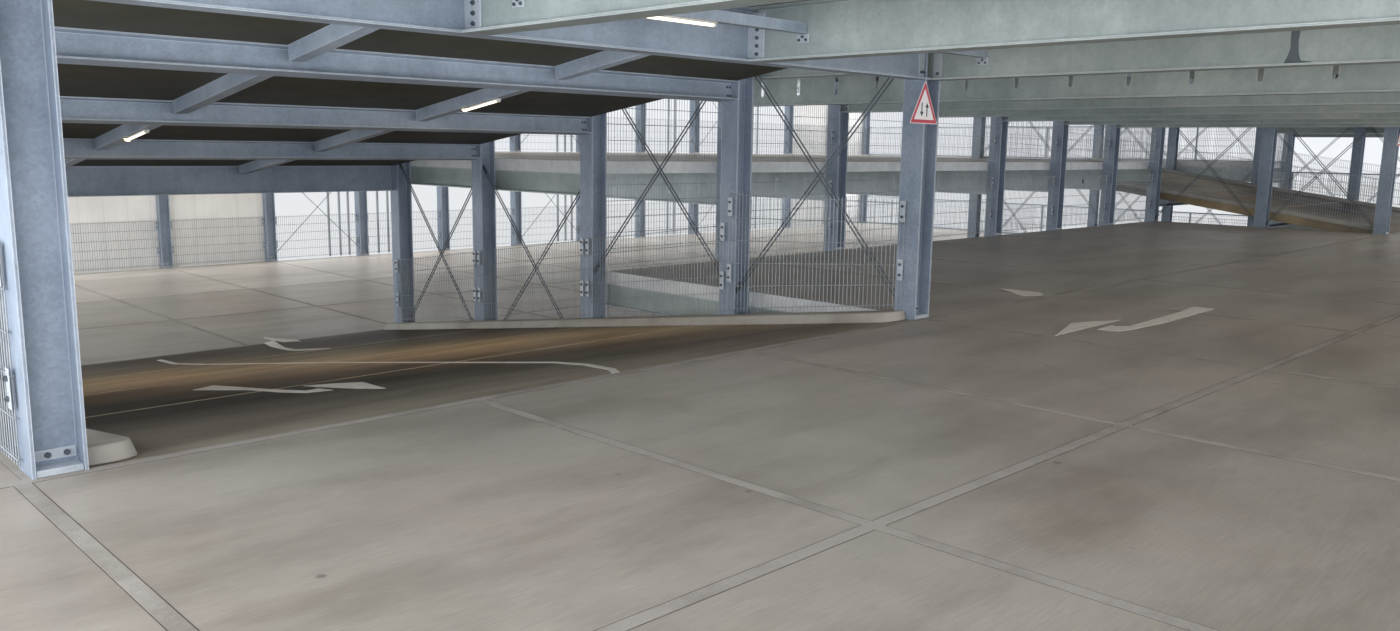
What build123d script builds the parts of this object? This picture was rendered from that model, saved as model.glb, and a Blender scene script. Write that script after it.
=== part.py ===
from build123d import *
import math
import os

os.makedirs("parts", exist_ok=True)

# plan: a row of equal bays along X, two decks side by side along Y with the split line at y = 0
bay = 2500.0
bay_count = 15
stall_depth = 5000.0
lane_width = 6110.0
deck_depth = 2 * stall_depth + lane_width
half_length = bay * bay_count / 2

# levels: deck A on the -Y side, deck B on the +Y side half a storey higher
half_storey = 1400.0
storey = 2 * half_storey
ground_a = 200.0
tops_a = [ground_a + storey * i for i in range(3)]
tops_b = [z + half_storey for z in tops_a]

# concrete
slab = 160.0
joint = 10.0
base_wall = 250.0
kerb_height = 100.0
kerb_width = 295.0
kerb_cut = 240.0

# steel columns, H section with the flanges facing along X
col = 240.0
col_flange = 17.0
col_web = 10.0

# floor beams, I section along Y; those that run on to the split line are deeper than those cut at the ramps
beam_depth = 395.0
deep_beam = 465.0
beam_width = 190.0
beam_flange = 15.0
beam_web = 10.0
slot_pitch = 640.0
slot_height = 220.0
slot_width = 55.0

# ramps: two groups of three bays, one near each end
ramp_bays = 3
ramp_first = 1
outer_shift = 170.0
cross_depth = 200.0
cross_flange = 12.0
cross_web = 8.0
tube = 120.0
tube_wall = 5.0

# guards and slender facade parts
guard_height = 1130.0
guard_lift = 20.0
guard_rail = 40.0
guard_thick = 30.0
guard_gap = 0.3
guard_apart = 20.0
trim = 8.0
rod = 20.0
rod_thick = 14.0
bar_width = 40.0
bar_depth = 60.0
panel_thick = 40.0

# lines derived from the plan
edge_y = deck_depth - col / 2
slab_out = deck_depth - col - joint
slab_in = col / 2 + joint
slab_end = half_length - joint
end_x = half_length - col / 2
inner_x = half_length - bay * (ramp_first + ramp_bays)
outer_x = half_length - bay * ramp_first - outer_shift
outer_beam_x = outer_x + col / 2 + beam_width / 2
girder_y = stall_depth - 50.0
ramp_ys = [-stall_depth + 130.0, -stall_depth / 2, 0.0, stall_depth / 2, stall_depth - 130.0]
seat_y = girder_y - beam_width / 2

lines = [-half_length + bay * i for i in range(bay_count + 1)]
lines[0] = -end_x
lines[-1] = end_x
lines[ramp_first] = -outer_beam_x
lines[-1 - ramp_first] = outer_beam_x
inside_west = [ramp_first + i for i in range(1, ramp_bays)]
inside_east = [bay_count - ramp_first - i for i in range(1, ramp_bays)]
inside = inside_west + inside_east
ramp_line_west = ramp_first + ramp_bays
ramp_line_east = bay_count - ramp_first - ramp_bays
ramp_bay_list = [ramp_first + i for i in range(ramp_bays)]
ramp_bay_list = ramp_bay_list + [bay_count - 1 - i for i in ramp_bay_list]
split_lines = [0] + [i for i in range(ramp_line_west + 1, ramp_line_east)] + [bay_count]

# each ramp: side (-1 west, +1 east), height at the deck A end, height at the deck B end
ramps = {
    "west_ramp_lower": (-1, tops_a[1], tops_b[0]),
    "west_ramp_upper": (-1, tops_a[2], tops_b[1]),
    "east_ramp_lower": (1, tops_a[0], tops_b[0]),
    "east_ramp_middle": (1, tops_a[1], tops_b[1]),
    "east_ramp_upper": (1, tops_a[2], tops_b[2]),
}


ramp_end = stall_depth - joint


def ramp_top(z_a, z_b, y):
    return z_a + (z_b - z_a) * (y + ramp_end) / (2 * ramp_end)


def ramp_under(z_a, z_b, y):
    return z_a - slab + (z_b - z_a) * (y + seat_y) / (2 * seat_y)


def ramp_span(side):
    ends = [side * (inner_x + col / 2), side * (outer_x - col / 2)]
    return min(ends), max(ends)


def columns(points):
    """H sections standing at the points of the active sketch."""
    with Locations(points):
        Rectangle(col, col)
    pocket = (col - col_web) / 2
    for way in (-1, 1):
        with Locations([(x, y + way * (col_web + pocket) / 2) for x, y in points]):
            Rectangle(col - 2 * col_flange, pocket, mode=Mode.SUBTRACT)


def beams(points, depth, width, flange, web):
    """I sections hanging below the points of the active sketch."""
    with Locations([(x, z - depth / 2) for x, z in points]):
        Rectangle(width, depth)
    pocket = (width - web) / 2
    for way in (-1, 1):
        with Locations([(x + way * (web + pocket) / 2, z - depth / 2) for x, z in points]):
            Rectangle(pocket, depth - 2 * flange, mode=Mode.SUBTRACT)


def bar(start, end, width):
    """A straight bar between two points of the active sketch, its ends cut upright."""
    rise = width / 2 * math.hypot(end[0] - start[0], end[1] - start[1]) / abs(end[0] - start[0])
    Polygon(
        (start[0], start[1] - rise),
        (end[0], end[1] - rise),
        (end[0], end[1] + rise),
        (start[0], start[1] + rise),
        align=None,
    )


def box(x0, x1, y0, y1, z0, z1):
    """A plain block between two opposite corners."""
    with Locations(((x0 + x1) / 2, (y0 + y1) / 2, (z0 + z1) / 2)):
        Box(x1 - x0, y1 - y0, z1 - z0)


def strip_rectangles(way, left_open):
    """Plan rectangles of one deck: way -1 for deck A, +1 for deck B; the bays in left_open stop at the ramp."""
    rects = []
    for i in range(bay_count):
        x0 = -half_length + bay * i + joint / 2
        x1 = -half_length + bay * (i + 1) - joint / 2
        if i == 0:
            x0 = -slab_end
        if i == bay_count - 1:
            x1 = slab_end
        beside_west = i in (ramp_first - 1, ramp_line_west)
        beside_east = i in (bay_count - ramp_first, ramp_line_east - 1)
        if i in left_open:
            rects.append((x0, x1, stall_depth, slab_out))
        elif beside_west or beside_east:
            rects.append((x0, x1, stall_depth, slab_out))
            n0 = x0
            n1 = x1
            if i == ramp_first - 1:
                n1 = -outer_x - col / 2 - joint
            if i == ramp_line_west:
                n0 = -inner_x + col / 2 + joint
            if i == ramp_line_east - 1:
                n1 = inner_x - col / 2 - joint
            if i == bay_count - ramp_first:
                n0 = outer_x + col / 2 + joint
            rects.append((n0, n1, slab_in, stall_depth - joint))
        else:
            rects.append((x0, x1, slab_in, slab_out))
    return [(x0, x1, min(way * y0, way * y1), max(way * y0, way * y1)) for x0, x1, y0, y1 in rects]


def deck(rects, top, thick):
    """Flat slabs of one deck."""
    with BuildSketch(Plane.XY.offset(top - thick)) as flat:
        for x0, x1, y0, y1 in rects:
            with Locations(((x0 + x1) / 2, (y0 + y1) / 2)):
                Rectangle(x1 - x0, y1 - y0)
    extrude(flat.sketch, amount=thick)


both_ramps = ramp_bay_list
west_ramp_bays = [i for i in ramp_bay_list if i < bay_count / 2]

# ground slab of deck A, with the floor running on under the west ramp
with BuildPart() as ground_slab_a:
    under_ramp = []
    x0, x1 = ramp_span(-1)
    for i in west_ramp_bays:
        left = max(x0 + joint, -half_length + bay * i + joint / 2)
        right = min(x1 - joint, -half_length + bay * (i + 1) - joint / 2)
        under_ramp.append((left, right, joint - stall_depth, -slab_in))
    rects = strip_rectangles(-1, both_ramps) + under_ramp
    # cast in one piece against the columns: every strip grown by the joint
    rects = [(x0 - joint, x1 + joint, y0 - joint, y1 + joint) for x0, x1, y0, y1 in rects]
    deck(rects, tops_a[0], tops_a[0])
ground_slab_a.part.label = "ground_slab_a"
export_step(ground_slab_a.part, "parts/ground_slab_a.step")

# ground slab of deck B on its raised base
with BuildPart() as ground_deck_b:
    deck(strip_rectangles(1, both_ramps), tops_b[0], slab)
ground_deck_b.part.label = "ground_deck_b"
export_step(ground_deck_b.part, "parts/ground_deck_b.step")

# walls that carry the raised ground slab of deck B and the lowest ramps
with BuildPart() as raised_base_walls:
    top = tops_b[0] - slab
    inner_face = inner_x - col / 2 - joint
    outer_face = outer_x + col / 2 + joint
    box(-slab_end, slab_end, slab_out - base_wall, slab_out, 0, top)
    box(-inner_face + base_wall + joint, inner_face - base_wall - joint, slab_in, slab_in + base_wall, 0, top)
    for way in (-1, 1):
        far = sorted((way * slab_end, way * (slab_end - base_wall)))
        box(far[0], far[1], slab_in + base_wall + joint, slab_out - base_wall - joint, 0, top)
        near = sorted((way * slab_end, way * outer_face))
        box(near[0], near[1], slab_in, slab_in + base_wall, 0, top)
        side = sorted((way * (outer_face + base_wall), way * outer_face))
        box(side[0], side[1], slab_in + base_wall + joint, stall_depth - joint, 0, top)
        side = sorted((way * inner_face, way * (inner_face - base_wall)))
        box(side[0], side[1], slab_in, stall_depth - joint, 0, top)
        x0, x1 = ramp_span(way)
        box(x0 + joint, x1 - joint, seat_y, stall_depth + base_wall, 0, top)
    x0, x1 = ramp_span(1)
    for start in (x0 + joint, x1 - joint - base_wall):
        with BuildSketch(Plane.YZ.offset(start)) as flat:
            Polygon(
                (-seat_y + 60, 0),
                (seat_y - base_wall, 0),
                (seat_y - base_wall, ramp_under(tops_a[0], tops_b[0], seat_y - base_wall)),
                (-seat_y + 60, ramp_under(tops_a[0], tops_b[0], -seat_y + 60)),
                align=None,
            )
        extrude(flat.sketch, amount=base_wall)
raised_base_walls.part.label = "raised_base_walls"
export_step(raised_base_walls.part, "parts/raised_base_walls.step")

# upper decks
with BuildPart() as deck_a1:
    deck(strip_rectangles(-1, both_ramps), tops_a[1], slab)
deck_a1.part.label = "deck_a1"
export_step(deck_a1.part, "parts/deck_a1.step")

with BuildPart() as deck_a2:
    deck(strip_rectangles(-1, both_ramps), tops_a[2], slab)
deck_a2.part.label = "deck_a2"
export_step(deck_a2.part, "parts/deck_a2.step")

with BuildPart() as deck_b1:
    deck(strip_rectangles(1, both_ramps), tops_b[1], slab)
deck_b1.part.label = "deck_b1"
export_step(deck_b1.part, "parts/deck_b1.step")

with BuildPart() as deck_b2:
    deck(strip_rectangles(1, both_ramps), tops_b[2], slab)
deck_b2.part.label = "deck_b2"
export_step(deck_b2.part, "parts/deck_b2.step")


def floor_beams(way, top):
    """Long floor beams of one deck, cut short at the ramps."""
    full = [lines[i] for i in range(bay_count + 1) if i in split_lines]
    short = [lines[ramp_line_west], lines[ramp_line_east]]
    cut = [lines[i] for i in inside]
    outer = [lines[ramp_first], lines[bay_count - ramp_first]]
    far = edge_y - col_web / 2
    for xs, near, depth in (
        (full, col_web / 2, deep_beam),
        (short, -ramp_ys[0] + col_web / 2, beam_depth),
        (cut, girder_y + beam_width / 2, beam_depth),
        (outer, 20.0, beam_depth),
    ):
        start = -far if way < 0 else near
        with BuildSketch(Plane.XZ.offset(-start)) as flat:
            beams([(x, top - slab) for x in xs], depth, beam_width, beam_flange, beam_web)
        extrude(flat.sketch, amount=-(far - near))


# floor beams of the four upper decks; those over the viewer have slots through the web
with BuildPart() as beams_a1:
    floor_beams(-1, tops_a[1])
beams_a1.part.label = "beams_a1"
export_step(beams_a1.part, "parts/beams_a1.step")

with BuildPart() as beams_a2:
    floor_beams(-1, tops_a[2])
    slots = int((deck_depth - 2 * stall_depth + stall_depth) / slot_pitch)
    slot_x = lines[ramp_line_west + 1]
    with BuildSketch(Plane.YZ.offset(slot_x - beam_web)) as flat:
        with Locations([(-620 - slot_pitch * i, tops_a[2] - slab - deep_beam / 2) for i in range(slots)]):
            SlotOverall(slot_height, slot_width, rotation=90)
    extrude(flat.sketch, amount=2 * beam_web, mode=Mode.SUBTRACT)
beams_a2.part.label = "beams_a2"
export_step(beams_a2.part, "parts/beams_a2.step")

with BuildPart() as beams_b1:
    floor_beams(1, tops_b[1])
beams_b1.part.label = "beams_b1"
export_step(beams_b1.part, "parts/beams_b1.step")

with BuildPart() as beams_b2:
    floor_beams(1, tops_b[2])
beams_b2.part.label = "beams_b2"
export_step(beams_b2.part, "parts/beams_b2.step")

# columns, running on above the top decks as guard posts
with BuildPart() as split_columns:
    with BuildSketch(Plane.XY) as flat:
        columns([(lines[i], 0) for i in split_lines])
    extrude(flat.sketch, amount=tops_b[2] + guard_height)
split_columns.part.label = "split_columns"
export_step(split_columns.part, "parts/split_columns.step")

with BuildPart() as south_columns:
    with BuildSketch(Plane.XY) as flat:
        columns([(x, -edge_y) for x in lines])
    extrude(flat.sketch, amount=tops_a[2] + guard_height)
south_columns.part.label = "south_columns"
export_step(south_columns.part, "parts/south_columns.step")

with BuildPart() as north_columns:
    with BuildSketch(Plane.XY) as flat:
        columns([(x, edge_y) for x in lines])
    extrude(flat.sketch, amount=tops_b[2] + guard_height)
north_columns.part.label = "north_columns"
export_step(north_columns.part, "parts/north_columns.step")


def ramp_columns(side, heights):
    """Two rows of five columns beside one ramp group, each pair with its own height."""
    for y, height in zip(ramp_ys, heights):
        with BuildSketch(Plane.XY) as flat:
            columns([(side * inner_x, y), (side * outer_x, y)])
        extrude(flat.sketch, amount=height)


with BuildPart() as west_ramp_columns:
    low = [ramp_top(tops_a[2], tops_b[1], y) + guard_height for y in ramp_ys[:2]]
    ramp_columns(-1, low + [tops_b[2] + guard_height] * 3)
west_ramp_columns.part.label = "west_ramp_columns"
export_step(west_ramp_columns.part, "parts/west_ramp_columns.step")

with BuildPart() as east_ramp_columns:
    ramp_columns(1, [ramp_top(tops_a[2], tops_b[2], y) + guard_height for y in ramp_ys])
east_ramp_columns.part.label = "east_ramp_columns"
export_step(east_ramp_columns.part, "parts/east_ramp_columns.step")

# girders along X at the head and the foot of each ramp
with BuildPart() as ramp_girders:
    for side in (-1, 1):
        x0, x1 = ramp_span(side)
        points = [(-girder_y, z - slab) for z in tops_a[1:]] + [(girder_y, z - slab) for z in tops_b[1:]]
        with BuildSketch(Plane.YZ.offset(x0)) as flat:
            beams(points, beam_depth, beam_width, beam_flange, beam_web)
        extrude(flat.sketch, amount=x1 - x0)
ramp_girders.part.label = "ramp_girders"
export_step(ramp_girders.part, "parts/ramp_girders.step")

# edge beams along the deck side of the inner ramp columns
with BuildPart() as ramp_side_beams:
    for way, tops in ((-1, tops_a[1:]), (1, tops_b[1:])):
        start = -stall_depth + joint if way < 0 else 20.0
        points = []
        for side in (-1, 1):
            for z in tops:
                points.append((side * (inner_x - col / 2 - beam_width / 2), z - slab))
        with BuildSketch(Plane.XZ.offset(-start)) as flat:
            beams(points, 290.0, beam_width, cross_flange, cross_web)
        extrude(flat.sketch, amount=-(stall_depth - joint - 20.0))
ramp_side_beams.part.label = "ramp_side_beams"
export_step(ramp_side_beams.part, "parts/ramp_side_beams.step")


def tilted(y, z, angle, u, v):
    return (y + u * math.cos(angle) - v * math.sin(angle), z + u * math.sin(angle) + v * math.cos(angle))


def ramp_cross_beams(side, z_a, z_b):
    """Three I beams across one ramp, tilted to lie flat under its slab."""
    x0, x1 = ramp_span(side)
    angle = math.atan((z_b - z_a) / (2 * seat_y))
    w = beam_width / 2
    t = cross_web / 2
    d = cross_depth
    f = cross_flange
    section = [(-w, 0), (w, 0), (w, -f), (t, -f), (t, f - d), (w, f - d), (w, -d), (-w, -d)]
    section = section + [(-w, f - d), (-t, f - d), (-t, -f), (-w, -f)]
    for y in ramp_ys[1:4]:
        z = ramp_under(z_a, z_b, y)
        with BuildSketch(Plane.YZ.offset(x0)) as flat:
            Polygon(*[tilted(y, z, angle, u, v) for u, v in section], align=None)
        extrude(flat.sketch, amount=x1 - x0)


def ramp_stringers(side, z_a, z_b):
    """Two lines of hollow tubes along one ramp, between its cross beams."""
    angle = math.atan((z_b - z_a) / (2 * seat_y))
    xs = [side * (inner_x + bay), side * (inner_x + 2 * bay)]
    stops = [-seat_y] + ramp_ys[1:4] + [seat_y]
    cuts = []
    for n in range(4):
        z = ramp_under(z_a, z_b, stops[n])
        run = (stops[n + 1] - stops[n]) / math.cos(angle)
        u0 = beam_width / 2 if n > 0 else 30.0
        u1 = run - (beam_width / 2 if n < 3 else 30.0)
        for inset, thick, mode in ((0, tube, Mode.ADD), (tube_wall, tube - 2 * tube_wall, Mode.SUBTRACT)):
            long = 0 if inset == 0 else 50.0
            points = [(u0 - long, -inset), (u1 + long, -inset)]
            points = points + [(u1 + long, inset - tube), (u0 - long, inset - tube)]
            cuts.append((mode, thick, [tilted(stops[n], z, angle, u, v) for u, v in points]))
    for wanted in (Mode.ADD, Mode.SUBTRACT):
        for mode, thick, points in cuts:
            if mode != wanted:
                continue
            for x in xs:
                with BuildSketch(Plane.YZ.offset(x - thick / 2)) as flat:
                    Polygon(*points, align=None)
                extrude(flat.sketch, amount=thick, mode=mode)


with BuildPart() as west_cross_beams:
    ramp_cross_beams(*ramps["west_ramp_lower"])
    ramp_cross_beams(*ramps["west_ramp_upper"])
west_cross_beams.part.label = "west_cross_beams"
export_step(west_cross_beams.part, "parts/west_cross_beams.step")

with BuildPart() as east_cross_beams:
    ramp_cross_beams(*ramps["east_ramp_middle"])
    ramp_cross_beams(*ramps["east_ramp_upper"])
east_cross_beams.part.label = "east_cross_beams"
export_step(east_cross_beams.part, "parts/east_cross_beams.step")

with BuildPart() as stringers_west:
    ramp_stringers(*ramps["west_ramp_lower"])
    ramp_stringers(*ramps["west_ramp_upper"])
stringers_west.part.label = "west_ramp_stringers"
export_step(stringers_west.part, "parts/west_ramp_stringers.step")

with BuildPart() as stringers_east:
    ramp_stringers(*ramps["east_ramp_middle"])
    ramp_stringers(*ramps["east_ramp_upper"])
stringers_east.part.label = "east_ramp_stringers"
export_step(stringers_east.part, "parts/east_ramp_stringers.step")


def ramp_slab(side, z_a, z_b):
    """One sloping slab with a level seat at both ends."""
    x0, x1 = ramp_span(side)
    end = ramp_end
    with BuildSketch(Plane.YZ.offset(x0)) as flat:
        Polygon(
            (-end, z_a),
            (end, z_b),
            (end, z_b - slab),
            (seat_y, z_b - slab),
            (-seat_y, z_a - slab),
            (-end, z_a - slab),
            align=None,
        )
    extrude(flat.sketch, amount=x1 - x0)


with BuildPart() as west_ramp_lower:
    ramp_slab(*ramps["west_ramp_lower"])
west_ramp_lower.part.label = "west_ramp_lower"
export_step(west_ramp_lower.part, "parts/west_ramp_lower.step")

with BuildPart() as west_ramp_upper:
    ramp_slab(*ramps["west_ramp_upper"])
west_ramp_upper.part.label = "west_ramp_upper"
export_step(west_ramp_upper.part, "parts/west_ramp_upper.step")

with BuildPart() as east_ramp_lower:
    ramp_slab(*ramps["east_ramp_lower"])
east_ramp_lower.part.label = "east_ramp_lower"
export_step(east_ramp_lower.part, "parts/east_ramp_lower.step")

with BuildPart() as east_ramp_middle:
    ramp_slab(*ramps["east_ramp_middle"])
east_ramp_middle.part.label = "east_ramp_middle"
export_step(east_ramp_middle.part, "parts/east_ramp_middle.step")

with BuildPart() as east_ramp_upper:
    ramp_slab(*ramps["east_ramp_upper"])
east_ramp_upper.part.label = "east_ramp_upper"
export_step(east_ramp_upper.part, "parts/east_ramp_upper.step")

# kerbs along both sides of every ramp, their inner corners cut off
with BuildPart() as ramp_kerbs:
    kerb_end = stall_depth - 100.0
    for side, z_a, z_b in ramps.values():
        x0, x1 = ramp_span(side)
        for start in (x0, x1 - kerb_width):
            with BuildSketch(Plane.YZ.offset(start)) as flat:
                Polygon(
                    (-kerb_end, ramp_top(z_a, z_b, -kerb_end)),
                    (kerb_end, ramp_top(z_a, z_b, kerb_end)),
                    (kerb_end, ramp_top(z_a, z_b, kerb_end) + kerb_height),
                    (-kerb_end, ramp_top(z_a, z_b, -kerb_end) + kerb_height),
                    align=None,
                )
            extrude(flat.sketch, amount=kerb_width)
    with BuildSketch(Plane.XY) as flat:
        for side in (-1, 1):
            x0, x1 = ramp_span(side)
            for edge, turn in ((x0 + kerb_width, -1), (x1 - kerb_width, 1)):
                for end in (-kerb_end, kerb_end):
                    inward = 1 if end < 0 else -1
                    Polygon(
                        (edge - turn * 10, end - inward * 10),
                        (edge + turn * kerb_cut, end - inward * 10),
                        (edge - turn * 10, end + inward * kerb_cut),
                        align=None,
                    )
    extrude(flat.sketch, amount=tops_b[2] + 2 * kerb_height, mode=Mode.SUBTRACT)
ramp_kerbs.part.label = "ramp_kerbs"
export_step(ramp_kerbs.part, "parts/ramp_kerbs.step")


def crossed_rods(x, spans):
    """Crossed rods in an upright plane along Y: each span is y0, y1 and the two heights at each end."""
    for y0, low0, high0, y1, low1, high1 in spans:
        for shift, z0, z1 in ((-rod_thick - 4, low0, high1), (4, high0, low1)):
            with BuildSketch(Plane.YZ.offset(x + shift)) as flat:
                bar((y0 + col_web / 2, z0), (y1 - col_web / 2, z1), rod)
            extrude(flat.sketch, amount=rod_thick)


def rod_spans(lower, upper, first, last):
    spans = []
    for n in range(first, last):
        y0 = ramp_ys[n]
        y1 = ramp_ys[n + 1]
        spans.append(
            (
                y0,
                lower(y0) + 250.0,
                upper(y0) - 480.0,
                y1,
                lower(y1) + 250.0,
                upper(y1) - 480.0,
            )
        )
    return spans


def along(z_a, z_b):
    return lambda y: ramp_top(z_a, z_b, y)


# crossed rods between the ramp columns, storey by storey
with BuildPart() as west_bracing:
    spans = rod_spans(along(tops_a[1], tops_b[0]), along(tops_a[2], tops_b[1]), 0, 4)
    for x in (-outer_x, -inner_x):
        crossed_rods(x, spans)
west_bracing.part.label = "west_ramp_bracing"
export_step(west_bracing.part, "parts/west_ramp_bracing.step")

with BuildPart() as east_bracing:
    spans = rod_spans(along(tops_a[0], tops_b[0]), along(tops_a[1], tops_b[1]), 0, 4)
    spans = spans + rod_spans(along(tops_a[1], tops_b[1]), along(tops_a[2], tops_b[2]), 0, 4)
    for x in (outer_x, inner_x):
        crossed_rods(x, spans)
east_bracing.part.label = "east_ramp_bracing"
export_step(east_bracing.part, "parts/east_ramp_bracing.step")


def framed_guards(x, spans):
    """Framed guards in an upright plane along Y: each span is y, foot and top at its two ends."""
    with BuildSketch(Plane.YZ.offset(x - guard_thick / 2)) as flat:
        for y0, foot0, top0, y1, foot1, top1 in spans:
            Polygon((y0, foot0), (y1, foot1), (y1, top1), (y0, top0), align=None)
            r = guard_rail
            low = (foot1 - foot0) / (y1 - y0) * 3 * r
            high = (top1 - top0) / (y1 - y0) * 3 * r
            Polygon(
                (y0 + 3 * r, foot0 + r + low),
                (y1 - 3 * r, foot1 + r - low),
                (y1 - 3 * r, top1 - r - high),
                (y0 + 3 * r, top0 - r + high),
                align=None,
                mode=Mode.SUBTRACT,
            )
    extrude(flat.sketch, amount=guard_thick)


def ramp_guard_spans(z_a, z_b, inner_row):
    """
    Guards of one column row beside one ramp. Where the deck lies above the ramp, the outer row stands on
    the deck, and the guard next to the ramp's head in the inner row is as high as the deck's own guard.
    """
    beside_deck = (0, 1) if z_a > z_b else (3, 2)
    deck_top = max(z_a, z_b)
    spans = []
    for n in range(4):
        ends = []
        for y in (ramp_ys[n] + guard_apart, ramp_ys[n + 1] - guard_apart):
            z = ramp_top(z_a, z_b, y)
            foot = z + kerb_height + guard_lift
            top = z + guard_height
            if inner_row and n == beside_deck[0]:
                top = deck_top + guard_height
            if not inner_row and n in beside_deck:
                foot = deck_top + guard_lift
                top = deck_top + guard_height
            ends.append((y, foot, top))
        spans.append(ends[0] + ends[1])
    return spans


# every guard hangs on the column flanges that face away from the middle of the building
guard_shift = col / 2 + guard_thick / 2 + guard_gap
with BuildPart() as west_ramp_guards:
    for side, z_a, z_b in (ramps["west_ramp_lower"], ramps["west_ramp_upper"]):
        framed_guards(-outer_x - guard_shift, ramp_guard_spans(z_a, z_b, False))
        framed_guards(-inner_x - guard_shift, ramp_guard_spans(z_a, z_b, True))
west_ramp_guards.part.label = "west_ramp_guards"
export_step(west_ramp_guards.part, "parts/west_ramp_guards.step")

with BuildPart() as east_ramp_guards:
    for name in ("east_ramp_lower", "east_ramp_middle", "east_ramp_upper"):
        side, z_a, z_b = ramps[name]
        framed_guards(outer_x + guard_shift, ramp_guard_spans(z_a, z_b, False))
        framed_guards(inner_x + guard_shift, ramp_guard_spans(z_a, z_b, True))
east_ramp_guards.part.label = "east_ramp_guards"
export_step(east_ramp_guards.part, "parts/east_ramp_guards.step")


def level_guards(y, spans, floors):
    """Framed guards in an upright plane along X, between the faces of neighbouring columns."""
    with BuildSketch(Plane.XZ.offset(-y - guard_thick / 2)) as flat:
        for z in floors:
            for x0, x1 in spans:
                high = guard_height - guard_lift
                mid = ((x0 + x1) / 2, z + guard_lift + high / 2)
                with Locations(mid):
                    Rectangle(x1 - x0, high)
                    Rectangle(x1 - x0 - 2 * guard_rail, high - 2 * guard_rail, mode=Mode.SUBTRACT)
    extrude(flat.sketch, amount=guard_thick)


def column_spans(xs):
    return [(a + col / 2, b - col / 2) for a, b in zip(xs[:-1], xs[1:])]


split_west = column_spans([lines[0], -outer_x])
split_east = column_spans([outer_x, lines[-1]])
split_mid = column_spans([-inner_x] + [lines[i] for i in split_lines[1:-1]] + [inner_x])
split_spans = split_west + split_mid + split_east
with BuildPart() as split_guards_a:
    level_guards(0, split_spans, tops_a[1:])
split_guards_a.part.label = "split_guards_a"
export_step(split_guards_a.part, "parts/split_guards_a.step")

with BuildPart() as split_guards_b:
    level_guards(0, split_spans, tops_b)
split_guards_b.part.label = "split_guards_b"
export_step(split_guards_b.part, "parts/split_guards_b.step")

with BuildPart() as south_guards:
    level_guards(-edge_y, column_spans(lines), tops_a)
south_guards.part.label = "south_guards"
export_step(south_guards.part, "parts/south_guards.step")

# north facade: a guard in every bay, and closed panels outside it in the first bays and the last
closed_west = 5
closed_east = 2
with BuildPart() as north_guards:
    level_guards(edge_y, column_spans(lines), tops_b)
north_guards.part.label = "north_guards"
export_step(north_guards.part, "parts/north_guards.step")

with BuildPart() as north_panels:
    spans = column_spans(lines)
    spans = spans[:closed_west] + spans[bay_count - closed_east :]
    for x0, x1 in spans:
        low = tops_b[0] - slab
        box(x0, x1, edge_y + 40, edge_y + 40 + panel_thick, low, tops_b[2] + guard_height)
north_panels.part.label = "north_panels"
export_step(north_panels.part, "parts/north_panels.step")


def end_guard(x, y0, y1, z, openings):
    """One long framed guard standing on the slab edge at an end of the building."""
    with BuildSketch(Plane.YZ.offset(x - guard_thick / 2)) as flat:
        with Locations(((y0 + y1) / 2, z + guard_height / 2)):
            Rectangle(y1 - y0, guard_height)
        pitch = (y1 - y0 - guard_rail) / openings
        for n in range(openings):
            with Locations((y0 + guard_rail / 2 + pitch * (n + 0.5), z + guard_height / 2)):
                Rectangle(pitch - guard_rail, guard_height - 2 * guard_rail, mode=Mode.SUBTRACT)
    extrude(flat.sketch, amount=guard_thick)


end_guard_x = slab_end - guard_thick
with BuildPart() as end_guards_a:
    for x in (-end_guard_x, end_guard_x):
        for z in tops_a[1:]:
            end_guard(x, -slab_out, -slab_in - joint, z, 6)
        end_guard(x, -slab_out, -stall_depth - lane_width, tops_a[0], 2)
        end_guard(x, -stall_depth, -slab_in - joint, tops_a[0], 2)
end_guards_a.part.label = "end_guards_a"
export_step(end_guards_a.part, "parts/end_guards_a.step")

with BuildPart() as end_guards_b:
    for x in (-end_guard_x, end_guard_x):
        for z in tops_b:
            end_guard(x, slab_in + joint, slab_out, z, 6)
end_guards_b.part.label = "end_guards_b"
export_step(end_guards_b.part, "parts/end_guards_b.step")

# guards around the open well over the upper west ramp
with BuildPart() as well_guards:
    x0, x1 = ramp_span(-1)
    with BuildSketch(Plane.XZ.offset(-stall_depth - 60)) as flat:
        with Locations(((x0 + x1) / 2, tops_b[2] + guard_height / 2)):
            Rectangle(x1 - x0, guard_height)
        for n in range(3):
            pitch = (x1 - x0 - guard_rail) / 3
            with Locations((x0 + guard_rail / 2 + pitch * (n + 0.5), tops_b[2] + guard_height / 2)):
                Rectangle(pitch - guard_rail, guard_height - 2 * guard_rail, mode=Mode.SUBTRACT)
    extrude(flat.sketch, amount=guard_thick)
    spans = []
    foot = tops_b[2] + guard_lift
    top = tops_b[2] + guard_height
    for n in (2, 3):
        spans.append((ramp_ys[n] + guard_apart, foot, top, ramp_ys[n + 1] - guard_apart, foot, top))
    for x in (-outer_x - guard_shift, -inner_x + guard_shift):
        framed_guards(x, spans)
well_guards.part.label = "well_guards"
export_step(well_guards.part, "parts/well_guards.step")

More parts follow.
